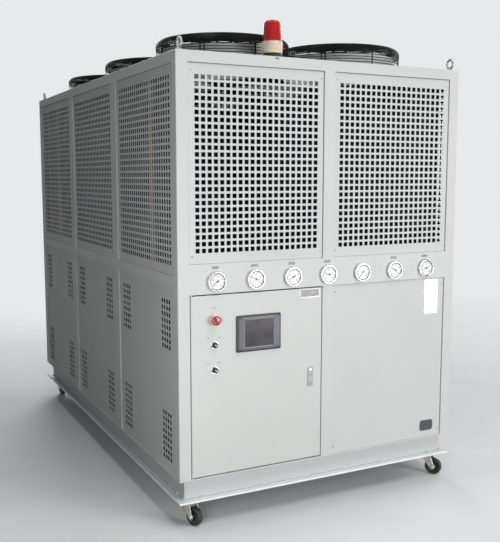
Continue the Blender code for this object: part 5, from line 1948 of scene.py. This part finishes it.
@dataclass
class Casters:
    """Swivel casters: pressed fork, ball race, axle bolt, hub and rubber tyre."""

    x: float = 0.681
    y: float = 1.216
    trail: float = 0.034
    wheel: float = 0.043
    width: float = 0.03
    turn_deg: dict[str, float] = field(
        default_factory=lambda: {"front_left": -70.0, "front_right": -55.0, "back_left": -82.0, "back_right": -60.0}
    )

    def fork(self) -> Shell:
        """Return the fork, its trail along +x, with the swivel axis at the origin.

        Returns:
            The fork.
        """
        shell = turned([(0, 0.098, 0), (0.03, 0.098, 0.002), (0.0358, 0.1, 0.002), (0.0358, 0.1025, 0.001),
                        (0.029, 0.104, 0.002), (0.027, 0.1078, 0.002), (0, 0.108, 0)], 48)
        shell.stamp(drum(0.0115, 0.09, 0.1132, 24)).stamp(hex_head(0.019, 0.006), [(0, 0, 0.098)], Side.UNDER.turn)
        boss = polar(0.0135, np.linspace(-2.2, 1.05, 12))[:, :2] + (self.trail, self.wheel)
        outline = np.concatenate([boss, [(0.03, 0.088), (0.027, 0.1015), (-0.025, 0.1015), (-0.0225, 0.09),
                                         (-0.004, 0.068)]])
        cheek = loft([(inset(outline, 0.0006), 0.0), (outline, 0.0006), (outline, 0.0032),
                      (inset(outline, 0.0006), 0.0038)])
        upright = np.array([(1, 0, 0), (0, 0, 1), (0, -1, 0)])
        shell.stamp(cheek, [(0, 0.0244, 0), (0, -0.0206, 0)], upright)
        shell.stamp(drum(0.0055, -0.0285, 0.0285, 20), [(self.trail, 0, self.wheel)], ALONG_Y)
        for y, turn in ((0.0244, ALONG_Y), (-0.0244, np.diag([1, -1, -1]) @ ALONG_Y)):
            shell.stamp(hex_head(0.013, 0.0045), [(self.trail, y, self.wheel)], turn)
        return shell

    def tyre(self) -> Shell:
        """Return the wheel about its axle, in local axes with z along the axle.

        Returns:
            The wheel, with its core in slot 1.
        """
        h = self.width / 2
        shell = turned([(0.03, -h + 0.002, 0), (0.0375, -h, 0.003), (self.wheel, -h + 0.004, 0.005),
                        (self.wheel, h - 0.004, 0.005), (0.0375, h, 0.003), (0.03, h - 0.002, 0)], 72, steps=5)
        core = eased([(0.03, h - 0.002, 0), (0.0285, h - 0.003, 0.001), (0.026, h - 0.007, 0.002),
                      (0.015, h - 0.007, 0.003), (0.013, h - 0.0005, 0.001), (0.0066, h, 0.0005), (0.0066, 0.0, 0)],
                     closed=False)
        return shell.stamp(lathe(core, 60, 1)).stamp(lathe(core[::-1] * (1, -1), 60, 1))

    def build(self) -> None:
        """Make a fork and a wheel at each corner, turned as they stand."""
        fork, tyre, races = self.fork(), self.tyre(), Shell()
        race = turned([(0.013, 0.1085, 0), (0.03, 0.1085, 0.001), (0.03, 0.1137, 0.001), (0.013, 0.1137, 0)], 40)
        for corner, spot in quarters(self.x, self.y).items():
            turn = turned_z(self.turn_deg[corner])
            node = f"caster_fork_{corner}"
            make_piece(f"{node}_pressing", Shell().stamp(fork, [spot], turn), ZINC, node, [node])
            centre = spot + np.array([self.trail, 0, self.wheel]) @ turn
            node = f"caster_wheel_{corner}"
            make_piece(f"{node}_tyre", Shell().stamp(tyre, [centre], ALONG_Y @ turn), [RUBBER, BLACK], node, [node])
            races.stamp(race, [spot])
        make_piece("caster_races", races, ZINC)


@dataclass
class Condenser:
    """Deck between the rooms and, along each side, a finned coil with its bends and pipes."""

    inner: float = 0.655
    outer: float = 0.705
    end: float = 1.2
    low: float = CAB_Z + 0.887
    high: float = CAB_Z + 1.8565
    fin_pitch: float = 0.004
    fin_depth: float = 0.0016

    def coil(self) -> Shell:
        """Return one coil for the +x side: a zigzag outline carried up, between two end plates.

        Returns:
            The coil, with its plates in slot 1.
        """
        count = int(2 * (self.end - 0.004) / self.fin_pitch) * 2
        y = np.linspace(-self.end + 0.004, self.end - 0.004, count + 1)
        dip = self.fin_depth * (np.arange(count + 1) % 2)
        outline = np.concatenate([np.stack([self.outer - dip, y], 1), np.stack([self.inner + dip, y], 1)[::-1]])
        z = np.array([self.low + 0.002, self.high - 0.002])
        points = np.stack(np.broadcast_arrays(outline[:, :1], outline[:, 1:], z[None]), -1)
        shell = Shell().grid(points, wrap_u=True)
        box = round_box(self.outer - self.inner + 0.004, 2 * self.end, 0.001, 1)
        middle = (self.inner + self.outer) / 2
        for z0 in (self.low, self.high - 0.004):
            shell.stamp(slab(box, z0, z0 + 0.004, 0.0005), [(middle, 0, 0)], slot=1)
        side = round_box(0.056, self.high - self.low, 0.001, 1)
        for y0, turn in ((-self.end, Side.FRONT.turn), (self.end, Side.BACK.turn)):
            shell.stamp(slab(side, -0.004, 0.001, 0.0005), [(middle, y0, (self.low + self.high) / 2)], turn, 1)
        return shell

    def bends(self) -> Shell:
        """Return the copper return bends of one coil end, facing -y.

        Returns:
            The bends.
        """
        turn = np.linspace(-math.pi / 2, math.pi / 2, 9)
        path = np.stack([0 * turn, -0.004 - 0.0127 * np.cos(turn), 0.0127 * np.sin(turn)], 1)
        path = np.concatenate([[(0, 0.002, -0.0127)], path, [(0, 0.002, 0.0127)]])
        bend = tube(path, 0.0048, (1, 0, 0), 8, caps=False)
        count = int((self.high - self.low - 0.06) / 0.0508)
        zs = self.low + 0.045 + 0.0508 * np.arange(count)
        shell = Shell()
        for x, shift in ((0.668, 0.0), (0.692, 0.0254)):
            shell.stamp(bend, np.stack([np.full(count, x), np.full(count, -self.end), zs + shift - 0.0127], 1))
        return shell

    def build(self) -> None:
        """Make the deck, both coils, their bends and the upright pipes."""
        deck = slab(round_box(2 * 0.7245, 2 * 1.2415, 0.002, 2), self.low - 0.003, self.low, 0.0005)
        shell = Shell().stamp(deck, slot=1)
        flip = np.diag([-1.0, 1.0, 1.0])
        half = self.coil()
        shell.stamp(half).stamp(mirrored(half, flip))
        # The fins, the deck and the coils' plates take near-black finishes: painted shade for the dark inside of
        # the cabinet.
        make_piece("condenser_coils", shell, [FINS, INNER_SHEET_SHADE], stands_for=["condenser_deck"],
                   crease=0)
        bends = self.bends()
        copper = Shell().stamp(bends).stamp(bends, turn=np.diag([-1.0, -1.0, 1.0]))
        for turn in (flip, np.diag([1.0, -1.0, 1.0])):
            copper.stamp(mirrored(bends, turn))
        for x, y, r in ((-0.727, -0.92, 0.0125), (-0.727, 0.86, 0.01), (0.727, 0.92, 0.0125),
                        (0.727, -0.86, 0.01)):
            line = np.array([(x, y, self.low + 0.002), (x, y, 1.6), (x, y, self.high - 0.0515)])
            copper.stamp(tube(line, r, (0, 1, 0), 20))
        make_piece("condenser_copper", copper, COPPER, crease=40.0)


def mirrored(shell: Shell, turn: Array) -> Shell:
    """Return a mirrored copy whose faces still look outwards.

    Args:
        shell: the shell to copy.
        turn: the mirroring matrix.

    Returns:
        The copy.
    """
    twin = Shell().stamp(shell, turn=turn)
    twin.faces = [faces[:, ::-1] for faces in twin.faces]
    return twin


@dataclass
class WaterStubs:
    """Two flanged water connections on the back, drilled for bolts."""

    x: float = 0.3
    heights: tuple[float, float] = (CAB_Z + 0.2, CAB_Z + 0.46)
    bolts: int = 8
    bolt_circle: float = 0.066

    def stub(self) -> Shell:
        """Return one stub along +z, its flange face at z = 0.

        The drilled face is a ring of cells in arc length s and radius r, each with a round hole;
        the point is (r cos(s / R), r sin(s / R)).

        Returns:
            The stub.
        """
        shell = Shell()
        part = TAU / self.bolts * self.bolt_circle
        wall = [(0.034, 0.0), (0.034, -0.1), (0.038, -0.1), (0.038, -0.03), (0.041, -0.018), (0.048, -0.0155)]
        face = [(0.048, 0.0), (0.034, 0.0)]
        rim = [(0.0835, -0.0155), (0.085, -0.0145), (0.085, -0.0015), (0.0835, 0.0)]
        for rows in (wall, face, rim):
            shell.stamp(lathe(rows, 64))
        for k in range(self.bolts):
            for z, flip in ((0.0, True), (-0.0155, False)):
                cell = holed_cell((0, self.bolt_circle), 0.008, (-part / 2, 0.048), (part / 2, 0.0835), 32, 2)
                points = polar(cell[..., 1], cell[..., 0] / self.bolt_circle + TAU * k / self.bolts, z)
                shell.grid(points, wrap_u=True, flip=flip)
                if z == 0.0:
                    shell.grid(points[:, :1] + np.array([(0, 0, 0), (0, 0, -0.0155)]), wrap_u=True)
        return shell

    def build(self) -> None:
        """Set a stub at each height."""
        for word, z in zip(("inlet", "outlet"), self.heights):
            shell = Side.BACK.stand(self.stub(), -self.x, z, HALF_L + 0.032)
            make_piece(f"water_{word}_flange", shell, STEEL, stands_for=[f"water_{word}"])


LAMPS = (
    ("key_light", (2.8, -6.0, 1.0), (0, -1.2, 0.9), 2.0, 20.0),
    ("near_light", (-1.9, -3.0, 1.0), (-0.7, -1.1, 0.8), 0.9, 2.2),
    ("top_light", (0.4, -3.4, 5.2), (0, -0.9, 0.8), 2.6, 9.0),
    ("edge_light", (-1.02, -0.9, 4.4), (-1.02, -0.9, 0.1), 0.5, 1.8),
    ("back_light", (1.5, 6.4, 3.6), (0, 0.8, 1.0), 3.2, 20.0),
    ("right_light", (6.2, 1.6, 3.4), (0.5, 0.2, 1.0), 3.2, 9.0),
)


@dataclass
class Studio:
    """Pale floor, plain soft light and the camera at the photograph's place."""

    camera_at: Point = (-1.985, -4.395, 1.564)
    camera_back: Point = (-0.4493, -0.8854, 0.1194)
    focal_px: float = 789.3
    image: tuple[int, int] = (500, 542)
    backdrop: Colour = (0.8, 0.81, 0.82)
    sky: Colour = (0.97, 0.985, 1.0)
    world: float = 0.025

    def build(self) -> None:
        """Make the floor, the world, the lamps and the camera."""
        self.build_floor()
        self.build_world()
        for row in LAMPS:
            self.lamp(*row)
        self.build_camera()

    def build_floor(self) -> None:
        """Lay a round floor that fades into the backdrop far from the unit."""
        bench = Bench("studio_floor")
        spot = bench.node("ShaderNodeVectorMath", {"operation": "LENGTH"}, {0: bench.place}, 1)
        grain = bench.noise(3.0, 4.0, 0.6)
        base = bench.blend(bench.fade(grain, 0.3, 0.7), (0.88, 0.89, 0.9), (0.92, 0.93, 0.94))
        seen = looked_at(bench.tree)
        bench.dress(Base_Color=bench.blend(seen, (0.2, 0.2, 0.2), base), Roughness=0.7)
        glow = bench.node("ShaderNodeEmission", None, {"Color": self.backdrop, "Strength": 1.0})
        far = bench.fade(spot, 1.6, 6.5) * seen
        principled = Signal(bench.tree, bench.shader.outputs[0])
        both = bench.node("ShaderNodeMixShader", None, {0: far, 1: principled, 2: glow})
        output = bench.tree.nodes["Material Output"]
        plug(bench.tree, output.inputs["Surface"], both)
        mesh = bpy.data.meshes.new("floor")
        reach = circle(40.0, 64)
        mesh.from_pydata([(x, y, 0.0) for x, y in reach], [], [tuple(range(64))])
        mesh.materials.append(bench.material)
        linked("floor", mesh)

    def build_world(self) -> None:
        """Light evenly from all round, and show the backdrop's colour to the camera."""
        world = bpy.data.worlds.new("studio_world")
        world.use_nodes = True
        tree = world.node_tree
        tree.nodes.clear()
        shows = []
        for colour, strength in ((self.sky, self.world), (self.backdrop, 1.0)):
            show = tree.nodes.new("ShaderNodeBackground")
            plug(tree, show.inputs[0], colour)
            plug(tree, show.inputs[1], strength)
            shows.append(Signal(tree, show.outputs[0]))
        mix = tree.nodes.new("ShaderNodeMixShader")
        for entry, value in zip(mix.inputs, (looked_at(tree), *shows)):
            plug(tree, entry, value)
        out = tree.nodes.new("ShaderNodeOutputWorld")
        plug(tree, out.inputs[0], Signal(tree, mix.outputs[0]))
        bpy.context.scene.world = world

    def lamp(self, name: str, at: Point, toward: Point, size: float, power: float) -> None:
        """Add a square area lamp.

        Args:
            name: its name.
            at: its place.
            toward: the point that it faces.
            size: its side.
            power: its strength: a facing surface at d metres gets power / d**2 of full white.
        """
        light = bpy.data.lights.new(name, "AREA")
        light.size = size
        light.energy = power * math.pi**2
        holder = linked(name, light)
        aim = Vector(toward) - Vector(at)
        holder.location = at
        holder.rotation_euler = aim.to_track_quat("-Z", "Y").to_euler()

    def build_camera(self) -> None:
        """Place the camera; its axes are the back vector, the level right vector and their cross."""
        back = Vector(self.camera_back).normalized()
        right = Vector((0, 0, 1)).cross(back).normalized()
        up = back.cross(right)
        lens = bpy.data.cameras.new("camera")
        lens.sensor_fit = "HORIZONTAL"
        lens.sensor_width = 36.0
        lens.lens = 36.0 * self.focal_px / self.image[0]
        lens.clip_end = 200.0
        camera = linked("camera", lens)
        turn = Matrix((right, up, back)).transposed().to_4x4()
        camera.matrix_world = Matrix.Translation(self.camera_at) @ turn
        bpy.context.scene.camera = camera


def dress_solids() -> None:
    """Give the solids that stay in view their finishes."""
    kept = {"floor_pan": GALVANISED, "control_box": GALVANISED}
    for node, finish in kept.items():
        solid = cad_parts[node]
        solid.data.materials.clear()
        solid.data.materials.append(finish.material())
        LOG.info("%s keeps its solid", node)


def main() -> None:
    """Build every sub-assembly in order."""
    logging.basicConfig(level=logging.INFO, format="%(name)s: %(message)s")
    for part in (Studio, FrameSkin, Roof, Panels, FanGuard, FanRotor, GaugeRow, ControlDoor, FrontPlates, Beacon,
                 LiftingEyes, BaseFrame, Casters, Condenser, WaterStubs):
        part().build()
    dress_solids()
    bpy.context.scene.view_settings.view_transform = "Standard"


if __name__ == "__main__":
    main()
